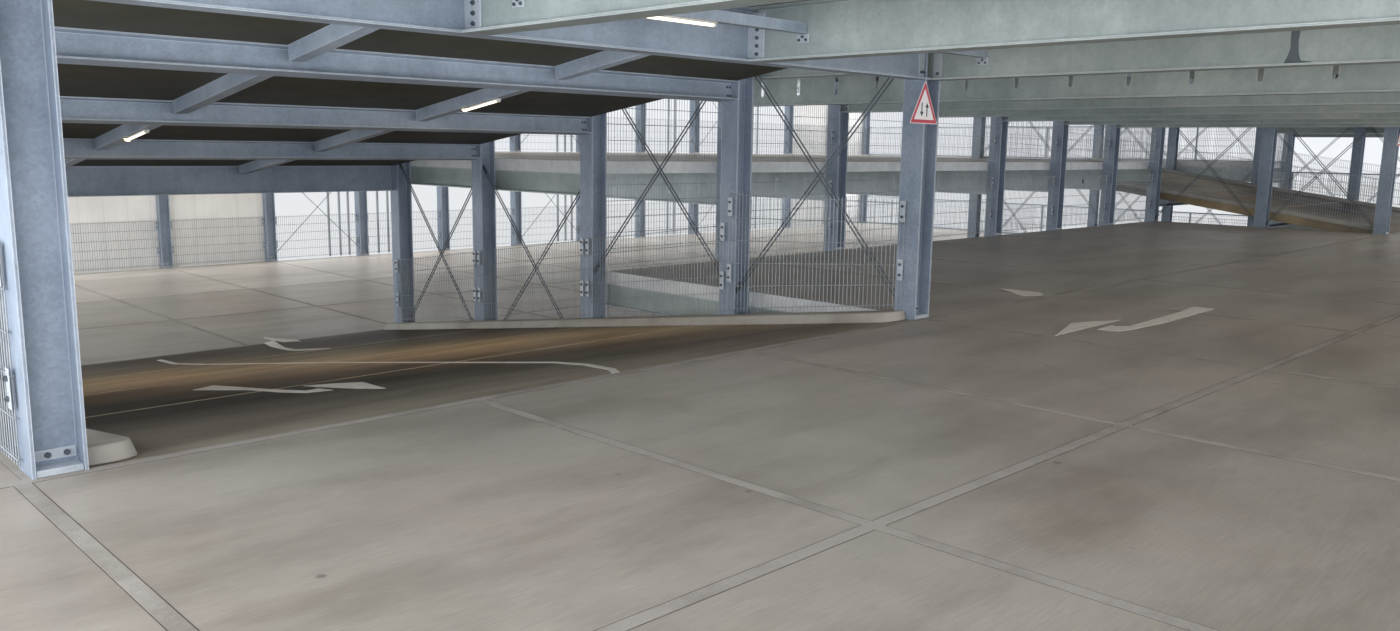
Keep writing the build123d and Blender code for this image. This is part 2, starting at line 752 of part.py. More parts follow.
# thin trims along the slab edges
with BuildPart() as deck_trims:
    inner_edge = inner_x - col / 2 - joint
    outer_edge = outer_x + col / 2 + joint
    for way, tops in ((-1, tops_a[1:]), (1, tops_b[1:])):
        for z in tops:
            out = sorted((way * slab_out, way * (slab_out + trim)))
            box(-slab_end, slab_end, out[0], out[1], z - slab, z)
            near = sorted((way * slab_in, way * (slab_in - trim)))
            box(-slab_end, -outer_edge, near[0], near[1], z - slab, z)
            box(outer_edge, slab_end, near[0], near[1], z - slab, z)
            box(-inner_edge, inner_edge, near[0], near[1], z - slab, z)
            along_y = sorted((way * (slab_in + joint), way * (stall_depth - 2 * joint)))
            for side in (-1, 1):
                inner = sorted((side * inner_edge, side * (inner_edge + trim)))
                box(inner[0], inner[1], along_y[0], along_y[1], z - slab, z)
                outer = sorted((side * outer_edge, side * (outer_edge - trim)))
                box(outer[0], outer[1], along_y[0], along_y[1], z - slab, z)
deck_trims.part.label = "deck_trims"
export_step(deck_trims.part, "parts/deck_trims.step")


def facade_bars(y0, y1, z0, z1):
    """Slender upright bars in groups of two, three and two, bay after bay."""
    groups = ((1300.0, 1600.0), (1600.0, 1900.0, 2150.0), (500.0, 800.0))
    with BuildSketch(Plane.XY.offset(z0)) as flat:
        for i in range(bay_count):
            for offset in groups[i % 3]:
                with Locations((-half_length + bay * i + offset, (y0 + y1) / 2)):
                    Rectangle(bar_width, y1 - y0)
    extrude(flat.sketch, amount=z1 - z0)


bar_face = edge_y + guard_thick / 2
with BuildPart() as south_bars:
    facade_bars(-bar_face - bar_depth, -bar_face, tops_a[0] + guard_lift, tops_a[2] + guard_height)
south_bars.part.label = "south_bars"
export_step(south_bars.part, "parts/south_bars.step")

with BuildPart() as north_bars:
    groups = ((500.0, 800.0), (1300.0, 1600.0), (1600.0, 1900.0, 2150.0))
    with BuildSketch(Plane.XY.offset(tops_b[0] + guard_lift)) as flat:
        for i in range(closed_west, bay_count - closed_east):
            for offset in groups[i % 3]:
                with Locations((-half_length + bay * i + offset, bar_face + bar_depth / 2)):
                    Rectangle(bar_width, bar_depth)
    extrude(flat.sketch, amount=tops_b[2] + guard_height - tops_b[0] - guard_lift)
north_bars.part.label = "north_bars"
export_step(north_bars.part, "parts/north_bars.step")

# crossed rods in a few facade bays
braced_bays = [5, 8, 11]
with BuildPart() as facade_bracing:
    for way, tops in ((-1, tops_a[:2]), (1, tops_b[:2])):
        for i in braced_bays:
            x0 = lines[i] + col / 2
            x1 = lines[i + 1] - col / 2
            for z in tops:
                low = z + 200.0
                high = z + storey - slab - 200.0
                for shift, z0, z1 in ((70.0, low, high), (90.0, high, low)):
                    y = way * (edge_y - shift)
                    with BuildSketch(Plane.XZ.offset(-y - rod_thick / 2)) as flat:
                        bar((x0, z0), (x1, z1), rod)
                    extrude(flat.sketch, amount=rod_thick)
facade_bracing.part.label = "facade_bracing"
export_step(facade_bracing.part, "parts/facade_bracing.step")

# hollow purlins between floor beams, each with a lamp under it
purlin_bays = [2, 5, 8, 12]
purlin_drop = 60.0
purlin = 100.0
lamp_length = 640.0
lamp_width = 60.0
lamp_height = 45.0
purlin_y = stall_depth + 500.0
with BuildPart() as lamp_purlins:
    for way, tops in ((-1, tops_a[1:]), (1, tops_b[1:])):
        for i in purlin_bays:
            x0 = lines[i] + beam_web / 2
            x1 = lines[i + 1] - beam_web / 2
            points = [(way * purlin_y, z - slab - purlin_drop - purlin / 2) for z in tops]
            with BuildSketch(Plane.YZ.offset(x0)) as flat:
                with Locations(points):
                    Rectangle(purlin, purlin)
                    Rectangle(purlin - 2 * tube_wall, purlin - 2 * tube_wall, mode=Mode.SUBTRACT)
            extrude(flat.sketch, amount=x1 - x0)
lamp_purlins.part.label = "lamp_purlins"
export_step(lamp_purlins.part, "parts/lamp_purlins.step")

with BuildPart() as lamps:
    for way, tops in ((-1, tops_a[1:]), (1, tops_b[1:])):
        for i in purlin_bays:
            x = (lines[i] + lines[i + 1]) / 2
            for z in tops:
                high = z - slab - purlin_drop - purlin
                y = way * purlin_y
                box(
                    x - lamp_length / 2,
                    x + lamp_length / 2,
                    y - lamp_width / 2,
                    y + lamp_width / 2,
                    high - lamp_height,
                    high,
                )
lamps.part.label = "lamps"
export_step(lamps.part, "parts/lamps.step")

# triangular signs on the inner ramp columns at the head of each upper ramp
sign_side = 415.0
sign_low = 1835.0
with BuildPart() as ramp_signs:
    for side in (-1, 1):
        x = side * (inner_x + 130.0)
        y = ramp_ys[0] - col / 2
        z = tops_a[1] + sign_low
        with BuildSketch(Plane.XZ.offset(-y)) as flat:
            Polygon(
                (x - sign_side / 2, z),
                (x + sign_side / 2, z),
                (x, z + sign_side * math.sin(math.radians(60))),
                align=None,
            )
        extrude(flat.sketch, amount=4.0)
ramp_signs.part.label = "ramp_signs"
export_step(ramp_signs.part, "parts/ramp_signs.step")
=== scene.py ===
import math
import bpy
from mathutils import Matrix, Vector


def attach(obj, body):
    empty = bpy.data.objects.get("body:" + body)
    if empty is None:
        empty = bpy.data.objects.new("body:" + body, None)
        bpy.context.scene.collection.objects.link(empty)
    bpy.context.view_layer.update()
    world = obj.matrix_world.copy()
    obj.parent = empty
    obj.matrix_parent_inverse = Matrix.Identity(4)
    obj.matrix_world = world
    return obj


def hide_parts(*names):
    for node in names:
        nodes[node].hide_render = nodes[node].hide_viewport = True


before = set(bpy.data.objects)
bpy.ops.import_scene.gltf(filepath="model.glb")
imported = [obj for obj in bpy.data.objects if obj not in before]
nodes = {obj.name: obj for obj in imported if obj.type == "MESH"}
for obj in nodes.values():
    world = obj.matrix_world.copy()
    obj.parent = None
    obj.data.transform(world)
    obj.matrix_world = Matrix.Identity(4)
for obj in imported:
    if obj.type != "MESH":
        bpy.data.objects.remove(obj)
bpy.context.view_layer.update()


# Camera: it stands on the middle storey near the west end and looks slantwise across the lane to the ramps.
# Its place, lens and tilt come from the floor grid.
yaw, pitch, roll = math.radians(45.082), math.radians(9.030), math.radians(0.857)
ahead = Vector((math.cos(yaw) * math.cos(pitch), math.sin(yaw) * math.cos(pitch), -math.sin(pitch)))
right = Vector((math.sin(yaw), -math.cos(yaw), 0))
above = right.cross(ahead)
right, above = right * math.cos(roll) + above * math.sin(roll), above * math.cos(roll) - right * math.sin(roll)
eye = Vector((-17.366, -10.604, 4.597))
bpy.ops.object.camera_add()
camera = bpy.context.object
camera.matrix_world = Matrix.Translation(eye) @ Matrix((right, above, -ahead)).transposed().to_4x4()
camera.data.sensor_width = 36.0
camera.data.lens = 1057.2 / 1400 * 36.0
camera.data.clip_end = 500
bpy.context.scene.camera = camera
bpy.context.scene.view_settings.view_transform = "Standard"


# Deck strips: concrete slabs 160 mm thick, one to each bay, their tops brushed along the lane and darkened by wear,
# their undersides painted dark as shade. The two ground slabs have the same finish.
bay, half_storey, storey, slab = 2.5, 1.4, 2.8, 0.16
tops_a, tops_b = (0.2, 3.0, 5.8), (1.6, 4.4, 7.2)


def colour(code):
    out = []
    for n in (0, 2, 4):
        c = int(code[n:n + 2], 16) / 255
        out.append(c / 12.92 if c <= 0.04045 else ((c + 0.055) / 1.055) ** 2.4)
    return (*out, 1.0)


def grey(v):
    return (v, v, v, 1.0)


def add(tree, kind, settings, out=0):
    node = tree.nodes.new(kind)
    for key, value in settings.items():
        if key == "stops":
            stops = node.color_ramp.elements
            stops[0].position, stops[0].color = value[0]
            stops[1].position, stops[1].color = value[-1]
            for position, tone in value[1:-1]:
                stops.new(position).color = tone
        elif isinstance(value, bpy.types.NodeSocket):
            tree.links.new(value, node.inputs[key])
        elif isinstance(key, str) and key[0].islower():
            setattr(node, key, value)
        else:
            node.inputs[key].default_value = value
    return node.outputs[out]


def new_finish(name):
    material = bpy.data.materials.new(name)
    material.use_nodes = True
    tree = material.node_tree
    return material, tree, tree.nodes["Principled BSDF"], add(tree, "ShaderNodeTexCoord", {}, "Object")


def tinted(tree, kind, share, below, over):
    return add(tree, "ShaderNodeMix", {"data_type": "RGBA", "blend_type": kind, 0: share, 6: below, 7: over}, 2)


# brushed and worn concrete: clouds of a metre or two, brush lines 10 mm apart, darker smears along the lane;
# undersides painted dark as shade, and optional tones that paint a band of light and shade across a ramp
def brushed_concrete(name, light, dark, painted_shade, lines, smears, low_gloss, high_gloss, painted_light=None):
    material, tree, shader, place = new_finish(name)
    clouds = add(tree, "ShaderNodeTexNoise", {"Vector": place, "Scale": 0.5, "Detail": 7.0, "Roughness": 0.62})
    patches = add(tree, "ShaderNodeTexNoise", {"Vector": place, "Scale": 2.9, "Detail": 6.0, "Roughness": 0.68})
    across = add(tree, "ShaderNodeMapping", {"Vector": place, "Scale": (6.0, 80.0, 80.0)})
    brush = add(tree, "ShaderNodeTexNoise", {"Vector": across, "Scale": 1.0, "Detail": 4.0, "Roughness": 0.6})
    along = add(tree, "ShaderNodeMapping", {"Vector": place, "Scale": (0.45, 1.7, 1.0)})
    smear = add(tree, "ShaderNodeTexNoise", {"Vector": along, "Scale": 1.0, "Detail": 6.0, "Roughness": 0.62})
    hue = add(tree, "ShaderNodeTexNoise", {"Vector": place, "Scale": 0.33, "Detail": 3.0, "Roughness": 0.5})
    grit = add(tree, "ShaderNodeTexNoise", {"Vector": place, "Scale": 240.0, "Detail": 2.0, "Roughness": 0.7})
    specks = add(tree, "ShaderNodeTexVoronoi", {"Vector": place, "Scale": 1.9, "Randomness": 1.0})
    base = add(tree, "ShaderNodeValToRGB", {"Fac": clouds, "stops": [(0.34, colour(dark)), (0.66, colour(light))]})
    # painted light and shade: a slantwise band of lamp light and shade across the ramp, the head as grey as the lit
    # deck
    if painted_light:
        lengthwise = add(tree, "ShaderNodeSeparateXYZ", {"Vector": place}, "Y")
        outward = add(tree, "ShaderNodeMath", {"operation": "ABSOLUTE",
                                               0: add(tree, "ShaderNodeSeparateXYZ", {"Vector": place}, "X")})
        slant = add(tree, "ShaderNodeMath", {"operation": "MULTIPLY_ADD", 0: outward, 1: -0.6, 2: lengthwise})
        share = add(tree, "ShaderNodeMapRange", {0: slant, 1: -11.35, 2: -3.35, 3: 0.0, 4: 1.0})
        stops = [((d + 4.0) / 8.0, colour(code)) for d, code in painted_light]
        band = add(tree, "ShaderNodeValToRGB", {"Fac": share, "stops": stops})
        head = add(tree, "ShaderNodeMapRange", {0: lengthwise, 1: -5.0, 2: -2.9, 3: 1.0, 4: 0.0})
        band = tinted(tree, "MIX", head, band, colour("a49d93"))
        base = tinted(tree, "MULTIPLY", 1.0, base, band)
        shader.inputs["Specular IOR Level"].default_value = 0.15
    worn = add(tree, "ShaderNodeValToRGB", {"Fac": patches, "stops": [(0.30, grey(0.80)), (0.60, grey(1.02))]})
    base = tinted(tree, "MULTIPLY", 0.4, base, worn)
    rubbed = add(tree, "ShaderNodeValToRGB", {"Fac": smear, "stops": [(0.36, colour("c4bfba")), (0.56, grey(1.0))]})
    base = tinted(tree, "MULTIPLY", smears, base, rubbed)
    cast = add(tree, "ShaderNodeValToRGB", {"Fac": hue, "stops": [(0.38, colour("fff8f1")), (0.62, colour("f7fbf3"))]})
    base = tinted(tree, "MULTIPLY", 0.9, base, cast)
    streak = add(tree, "ShaderNodeValToRGB", {"Fac": brush, "stops": [(0.30, grey(0.84)), (0.70, grey(1.08))]})
    base = tinted(tree, "MULTIPLY", lines, base, streak)
    sand = add(tree, "ShaderNodeValToRGB", {"Fac": grit, "stops": [(0.30, grey(0.84)), (0.70, grey(1.06))]})
    base = tinted(tree, "MULTIPLY", 0.6, base, sand)
    drip = add(tree, "ShaderNodeValToRGB", {"Fac": specks, "stops": [(0.025, grey(0.45)), (0.05, grey(1.0))]})
    base = tinted(tree, "MULTIPLY", 0.8, base, drip)
    # painted shade: faces turned downward are painted a dark mottled colour, for the shade under slabs and ramps
    normal = add(tree, "ShaderNodeNewGeometry", {}, "Normal")
    height = add(tree, "ShaderNodeSeparateXYZ", {"Vector": normal}, "Z")
    below = add(tree, "ShaderNodeMath", {"operation": "LESS_THAN", 0: height, 1: -0.5})
    shade_mottle = add(tree, "ShaderNodeValToRGB", {"Fac": patches, "stops": [(0.35, grey(0.72)), (0.65, grey(1.08))]})
    base = tinted(tree, "MIX", below, base, tinted(tree, "MULTIPLY", 0.7, colour(painted_shade), shade_mottle))
    tree.links.new(base, shader.inputs["Base Color"])
    gloss = add(tree, "ShaderNodeValToRGB",
                {"Fac": clouds, "stops": [(0.3, grey(low_gloss)), (0.7, grey(high_gloss))]})
    tree.links.new(gloss, shader.inputs["Roughness"])
    relief = add(tree, "ShaderNodeMath", {"operation": "ADD", 0: brush, 1: grit})
    tree.links.new(add(tree, "ShaderNodeBump", {"Strength": 0.4, "Distance": 0.0015, "Height": relief}),
                   shader.inputs["Normal"])
    return material


def finish_with(material, *names):
    for name in names:
        nodes[name].data.materials.clear()
        nodes[name].data.materials.append(material)


deck_concrete = brushed_concrete("deck_concrete", "aea9a5", "9e9892", "4a4a3e", 0.75, 0.5, 0.30, 0.45)
finish_with(deck_concrete, "ground_slab_a", "ground_deck_b", "deck_a1", "deck_a2", "deck_b1", "deck_b2")


# Joints: filled joints between the strips, 70 mm wide, with sanded sealant raised a millimetre and a dark hairline
# along each side. They run across every deck at each bay and lengthwise along both sides and the middle of the lane.
def clear():
    bpy.ops.object.select_all(action="DESELECT")


def block(x0, x1, y0, y1, z0, z1, soft=0.0, segments=1, tilt=0.0):
    clear()
    middle = ((x0 + x1) / 2, (y0 + y1) / 2, (z0 + z1) / 2)
    bpy.ops.mesh.primitive_cube_add(size=1, location=middle, rotation=(tilt, 0, 0), scale=(x1 - x0, y1 - y0, z1 - z0))
    piece = bpy.context.object
    bpy.ops.object.transform_apply(location=True, rotation=True, scale=True)
    if soft:
        edge = piece.modifiers.new("edge", "BEVEL")
        edge.width, edge.segments, edge.limit_method = soft, segments, "ANGLE"
        bpy.ops.object.modifier_apply(modifier="edge")
    return piece


def active(piece):
    clear()
    piece.select_set(True)
    bpy.context.view_layer.objects.active = piece


def row(piece, count, step):
    active(piece)
    array = piece.modifiers.new("row", "ARRAY")
    array.use_relative_offset, array.use_constant_offset = False, True
    array.count, array.constant_offset_displace = count, step
    bpy.ops.object.modifier_apply(modifier="row")
    return piece


def copy(piece, shift=(0, 0, 0)):
    other = piece.copy()
    other.data = piece.data.copy()
    other.data.transform(Matrix.Translation(shift))
    bpy.context.scene.collection.objects.link(other)
    return other


def joined(parts):
    clear()
    for part in parts:
        part.select_set(True)
    bpy.context.view_layer.objects.active = parts[0]
    if len(parts) > 1:
        bpy.ops.object.join()
    return bpy.context.view_layer.objects.active


def riding(name, parts, material, slot, *replaced):
    piece = joined(parts)
    piece.name = piece.data.name = name
    if material:
        piece.data.materials.clear()
        piece.data.materials.append(material)
    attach(piece, "root")
    if replaced:
        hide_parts(*replaced)
    return piece


def joints(wide, proud):
    parts = []
    for way, top in ((-1, tops_a[0]), (1, tops_b[0])):
        low, high = top - 0.004, top + proud
        centre = way * 5.0
        lengthwise = block(-18.73, 18.73, centre - wide / 2, centre + wide / 2, low, high, 0.0006)
        parts.append(row(lengthwise, 3, (0, way * 3.055, 0)))
        for first, count, near in ((-6.25, 6, 0.15), (-16.25, 4, 5.0), (8.75, 4, 5.0)):
            ends = sorted((way * near, way * 15.85))
            across = block(first - wide / 2, first + wide / 2, ends[0], ends[1], low, high - 0.0003, 0.0006)
            parts.append(row(across, count, (bay, 0, 0)))
        for x in (-16.213, 16.213):
            ends = sorted((way * 0.15, way * 5.0))
            parts.append(block(x - wide / 3, x + wide / 3, ends[0], ends[1], low, high - 0.0002, 0.0006))
    return row(joined(parts), 3, (0, 0, storey))


# sanded sealant: pale, dry and speckled at 2 to 3 mm
def sanded(name, light, dark, rough):
    material, tree, shader, place = new_finish(name)
    grains = add(tree, "ShaderNodeTexVoronoi", {"Vector": place, "Scale": 260.0}, "Color")
    speck = add(tree, "ShaderNodeSeparateColor", {"Color": grains}, 0)
    scuffs = add(tree, "ShaderNodeTexNoise", {"Vector": place, "Scale": 2.2, "Detail": 8.0, "Roughness": 0.7})
    base = add(tree, "ShaderNodeValToRGB", {"Fac": scuffs, "stops": [(0.34, colour(dark)), (0.56, colour(light))]})
    sand = add(tree, "ShaderNodeValToRGB", {"Fac": speck, "stops": [(0.0, grey(0.78)), (1.0, grey(1.1))]})
    tree.links.new(tinted(tree, "MULTIPLY", 0.7, base, sand), shader.inputs["Base Color"])
    shader.inputs["Roughness"].default_value = rough
    tree.links.new(add(tree, "ShaderNodeBump", {"Strength": 0.4, "Distance": 0.001, "Height": speck}),
                   shader.inputs["Normal"])
    return material


riding("joint_edges", [joints(0.080, 0.0009)], sanded("joint_shadow", "5d5852", "47433e", 0.9), "concrete")
riding("joint_seal", [joints(0.070, 0.0018)], sanded("joint_seal", "9d9993", "86817a", 0.85), "concrete")


# Base walls: cast concrete walls 250 mm thick that carry the raised ground slab, left plain grey from the formwork,
# with faint clouds where one pour met the next.
wall_concrete = brushed_concrete("wall_concrete", "aba8a2", "918e88", "8a8883", 0.15, 0.1, 0.75, 0.9)
finish_with(wall_concrete, "raised_base_walls")


# Ramps: concrete slabs at a slope of one in seven between the two half decks. Their tones are painted light, not wear:
# dark brown with a paler band slantwise across, fitted to how the lamps light the ramp in the photo, and seen on all
# five ramps from every side. The ends at -Y are as grey as the deck.
ramp_concrete = brushed_concrete("ramp_concrete", "ffffff", "e0ddd8", "4a493f", 0.5, 0.7, 0.45, 0.65, [
    (-3.5, "3d3830"), (-2.1, "786956"), (-1.2, "a99a82"), (-0.3, "c2b093"), (0.8, "aa9a80"), (1.9, "857a68"),
    (3.8, "5f584e")])
finish_with(ramp_concrete, "west_ramp_lower", "west_ramp_upper")
finish_with(ramp_concrete, "east_ramp_lower", "east_ramp_middle", "east_ramp_upper")
outer_x, inner_x, ramp_end, seat_end = 16.08, 8.75, 4.99, 4.855
west_ramps = ((3.0, 1.6), (5.8, 4.4))
east_ramps = ((0.2, 1.6), (3.0, 4.4), (5.8, 7.2))


def ramp_z(z_a, z_b, y):
    return z_a + (z_b - z_a) * (y + ramp_end) / (2 * ramp_end)


# Ramp joints: three narrow joints across every ramp, 24 mm wide and 2.1 m apart, filled with a sanded sealant that is
# paler and warmer than that of the decks.
def follow(piece, z_a, z_b):
    for vertex in piece.data.vertices:
        vertex.co.z += ramp_z(z_a, z_b, min(vertex.co.y, ramp_end))
    return piece


parts = []
for x0, x1, ramps in ((-15.66, -9.17, west_ramps), (9.17, 15.66, east_ramps)):
    for z_a, z_b in ramps:
        strip = row(block(x0, x1, -2.312, -2.288, -0.003, 0.0012, 0.0005), 3, (0, 2.1, 0))
        parts.append(follow(strip, z_a, z_b))
riding("ramp_joints", parts, sanded("ramp_joint_seal", "d6c8a8", "a8997b", 0.6), "ramp_concrete")


# Kerbs: cast kerbs 100 mm high along both sides of each ramp, floated smooth, with battered sides, cut corners and
# rounded edges. They replace the plain kerbs of the frame.
def pick(piece, test, kind="FACE"):
    active(piece)
    bpy.ops.object.mode_set(mode="EDIT")
    bpy.ops.mesh.select_mode(type=kind)
    bpy.ops.mesh.select_all(action="DESELECT")
    bpy.ops.object.mode_set(mode="OBJECT")
    vertices = piece.data.vertices
    if kind == "FACE":
        for face in piece.data.polygons:
            face.select = test(face.center, face.normal)
    elif kind == "EDGE":
        for edge in piece.data.edges:
            edge.select = test(vertices[edge.vertices[0]].co, vertices[edge.vertices[1]].co)
    else:
        for vertex in vertices:
            vertex.select = test(vertex.co)
    bpy.ops.object.mode_set(mode="EDIT")


def done():
    bpy.ops.object.mode_set(mode="OBJECT")


kerb_wide, kerb_high, kerb_end, batter = 0.295, 0.1, 4.9, 0.028


def kerb(column_face, way):
    inner = column_face + way * kerb_wide
    piece = block(min(column_face, inner), max(column_face, inner), -kerb_end, kerb_end, 0.0, kerb_high)
    pick(piece, lambda a, b: abs(a.x - inner) < 1e-4 and abs(b.x - inner) < 1e-4 and abs(a.z - b.z) > 0.05, "EDGE")
    bpy.ops.mesh.bevel(offset=0.16, segments=3, affect="EDGES")
    done()
    for vertex in piece.data.vertices:
        if vertex.co.z > kerb_high / 2:
            vertex.co.x -= batter * (vertex.co.x - column_face) / kerb_wide
            vertex.co.y *= 1 - batter / kerb_end
    active(piece)
    round_over = piece.modifiers.new("edge", "BEVEL")
    round_over.width, round_over.segments, round_over.limit_method = 0.015, 3, "ANGLE"
    round_over.angle_limit = math.radians(50)
    bpy.ops.object.modifier_apply(modifier="edge")
    bpy.ops.object.shade_smooth_by_angle(angle=math.radians(40))
    return piece


parts = []
for x0, x1, ramps in ((-15.96, -8.87, west_ramps), (8.87, 15.96, east_ramps)):
    for z_a, z_b in ramps:
        parts += [follow(kerb(x0, 1), z_a, z_b), follow(kerb(x1, -1), z_a, z_b)]
kerb_concrete = brushed_concrete("kerb_concrete", "b5b3b0", "9c9a97", "8d8b87", 0.1, 0.45, 0.6, 0.8)
riding("rounded_kerbs", parts, kerb_concrete, "concrete", "ramp_kerbs")


# Columns: rolled H sections 240 mm wide, hot-dip galvanised. The zinc sets in crystals a centimetre or two across,
# blue-grey and softly bright, with faint runs down the faces and a painted highlight along the edges for their glint.
def galvanised(name, light, dark, metal, low_gloss, high_gloss, spangle, cell_size=0.018, rim=0.0):
    material, tree, shader, place = new_finish(name)
    crystals = add(tree, "ShaderNodeTexVoronoi", {"Vector": place, "Scale": 1 / cell_size}, "Color")
    facet = add(tree, "ShaderNodeSeparateColor", {"Color": crystals}, 0)
    cloud = add(tree, "ShaderNodeTexNoise", {"Vector": place, "Scale": 1.3, "Detail": 6.0, "Roughness": 0.65})
    mottle = add(tree, "ShaderNodeTexNoise", {"Vector": place, "Scale": 11.0, "Detail": 5.0, "Roughness": 0.7})
    downward = add(tree, "ShaderNodeMapping", {"Vector": place, "Scale": (9.0, 9.0, 0.6)})
    runs = add(tree, "ShaderNodeTexNoise", {"Vector": downward, "Scale": 1.0, "Detail": 4.0, "Roughness": 0.6})
    base = add(tree, "ShaderNodeValToRGB", {"Fac": cloud, "stops": [(0.34, colour(dark)), (0.66, colour(light))]})
    flake = add(tree, "ShaderNodeValToRGB", {"Fac": facet, "stops": [(0.0, grey(0.82)), (1.0, grey(1.07))]})
    base = tinted(tree, "MULTIPLY", spangle, base, flake)
    blot = add(tree, "ShaderNodeValToRGB", {"Fac": mottle, "stops": [(0.33, grey(0.86)), (0.60, grey(1.03))]})
    base = tinted(tree, "MULTIPLY", 0.6, base, blot)
    run = add(tree, "ShaderNodeValToRGB", {"Fac": runs, "stops": [(0.34, grey(0.86)), (0.60, grey(1.0))]})
    base = tinted(tree, "MULTIPLY", 0.45, base, run)
    # rim: a painted highlight that pales the colour near every edge, for the glint of the rounded edges
    if rim:
        rounded = add(tree, "ShaderNodeBevel", {"samples": 4, "Radius": 0.010})
        flat = add(tree, "ShaderNodeNewGeometry", {}, "Normal")
        bend = add(tree, "ShaderNodeVectorMath", {"operation": "DOT_PRODUCT", 0: rounded, 1: flat}, "Value")
        edge = add(tree, "ShaderNodeValToRGB", {"Fac": bend, "stops": [(0.86, grey(rim)), (0.985, grey(0.0))]})
        base = tinted(tree, "MIX", edge, base, colour("eef3f8"))
    tree.links.new(base, shader.inputs["Base Color"])
    shader.inputs["Metallic"].default_value = metal
    gloss = add(tree, "ShaderNodeValToRGB", {"Fac": facet, "stops": [(0.0, grey(low_gloss)), (1.0, grey(high_gloss))]})
    tree.links.new(gloss, shader.inputs["Roughness"])
    tree.links.new(add(tree, "ShaderNodeBump", {"Strength": 0.15, "Distance": 0.003, "Height": mottle}),
                   shader.inputs["Normal"])
    return material


column_steel = galvanised("column_steel", "a5b2c3", "8d9bad", 0.25, 0.34, 0.55, 0.7, rim=0.85)
finish_with(column_steel, "split_columns", "south_columns", "north_columns", "west_ramp_columns", "east_ramp_columns")
col, end_x, edge_y, head_y = 0.24, 18.63, 15.99, 4.87
column_x = [-18.75 + bay * i for i in range(16)]
column_x[0], column_x[15], column_x[1], column_x[14] = -end_x, end_x, -16.295, 16.295


# Column feet: at each deck a seat plate fills the open side of the column and a flat cleat with two bolts ties it to
# the web. The plates are galvanised like the columns, and the bolts are a darker zinc-flake steel.
fitting_steel = galvanised("fitting_steel", "d0d8e0", "b4bec8", 0.25, 0.32, 0.5, 0.4, 0.012, 0.5)
bolt_steel = galvanised("bolt_steel", "7a8188", "5c636a", 0.5, 0.35, 0.5, 0.2, 0.01)


def of_steel(piece, material):
    piece.data.materials.clear()
    piece.data.materials.append(material)
    return piece


def bolt(place, way, head=0.012, deep=0.012):
    clear()
    way = Vector(way)
    turn = way.to_track_quat("Z", "Y").to_euler()
    bpy.ops.mesh.primitive_cylinder_add(vertices=6, radius=head, depth=deep, rotation=turn,
                                        location=Vector(place) + way * deep / 2)
    piece = bpy.context.object
    bpy.ops.object.transform_apply(location=True, rotation=True, scale=True)
    pick(piece, lambda c, n: n.dot(way) > 0.9)
    bpy.ops.mesh.inset(thickness=head * 0.4, depth=0)
    bpy.ops.mesh.extrude_region_move(TRANSFORM_OT_translate={"value": way * deep * 0.6})
    done()
    return of_steel(piece, bolt_steel)


def foot(x, y, top, way):
    web = y + way * 0.005
    face = y + way * 0.115
    shelf = block(x - 0.1, x + 0.1, min(web, face), max(web, face), top + 0.003, top + 0.035, 0.003, 2)
    rim = web + way * 0.012
    cleat = block(x - 0.1, x + 0.098, min(web, rim), max(web, rim), top + 0.055, top + 0.108, 0.0025)
    heads = [bolt((x + dx, rim, top + 0.082), (0, way, 0), 0.016) for dx in (-0.028, 0.055)]
    return joined([of_steel(shelf, fitting_steel), of_steel(cleat, fitting_steel)] + heads)


def feet_at(points, tops, way):
    x, y = points[0]
    first = foot(x, y, tops[0], way)
    every = [first] + [copy(first, (px - x, py - y, 0)) for px, py in points[1:]]
    whole = joined(every)
    return row(whole, len(tops), (0, 0, storey)) if len(tops) > 1 else whole


split_x = [-end_x] + column_x[5:11] + [end_x]
heads_a = [(side * x, -head_y) for side in (-1, 1) for x in (inner_x, outer_x)]
heads_b = [(side * x, head_y) for side in (-1, 1) for x in (inner_x, outer_x)]
parts = [
    feet_at(heads_a + [(x, 0.0) for x in split_x], tops_a, -1),
    feet_at(heads_b + [(x, 0.0) for x in split_x], tops_b, 1),
    feet_at([(x, -edge_y) for x in column_x], tops_a, 1),
    feet_at([(x, edge_y) for x in column_x], tops_b, -1),
]
riding("column_feet", parts, None, "galvanised_steel")


# Floor beams: I sections along every bay line, 465 mm deep where their webs are pierced by a line of upright slots
# 220 mm high, and 395 mm deep elsewhere. Their zinc is duller and greener than that of the columns.
beam_steel = galvanised("beam_steel", "bec8c6", "a2aead", 0.4, 0.32, 0.54, 0.4, rim=0.85)
# the beams of the B decks: the same zinc painted paler, a painted highlight for the light from the open sides
painted_lit_steel = galvanised("painted_lit_steel", "dde6ea", "c0cbd1", 0.4, 0.32, 0.54, 0.4, rim=0.85)
slot_high, slot_wide, slot_pitch, slot_count, deep_beam = 0.22, 0.055, 0.64, 17, 0.465


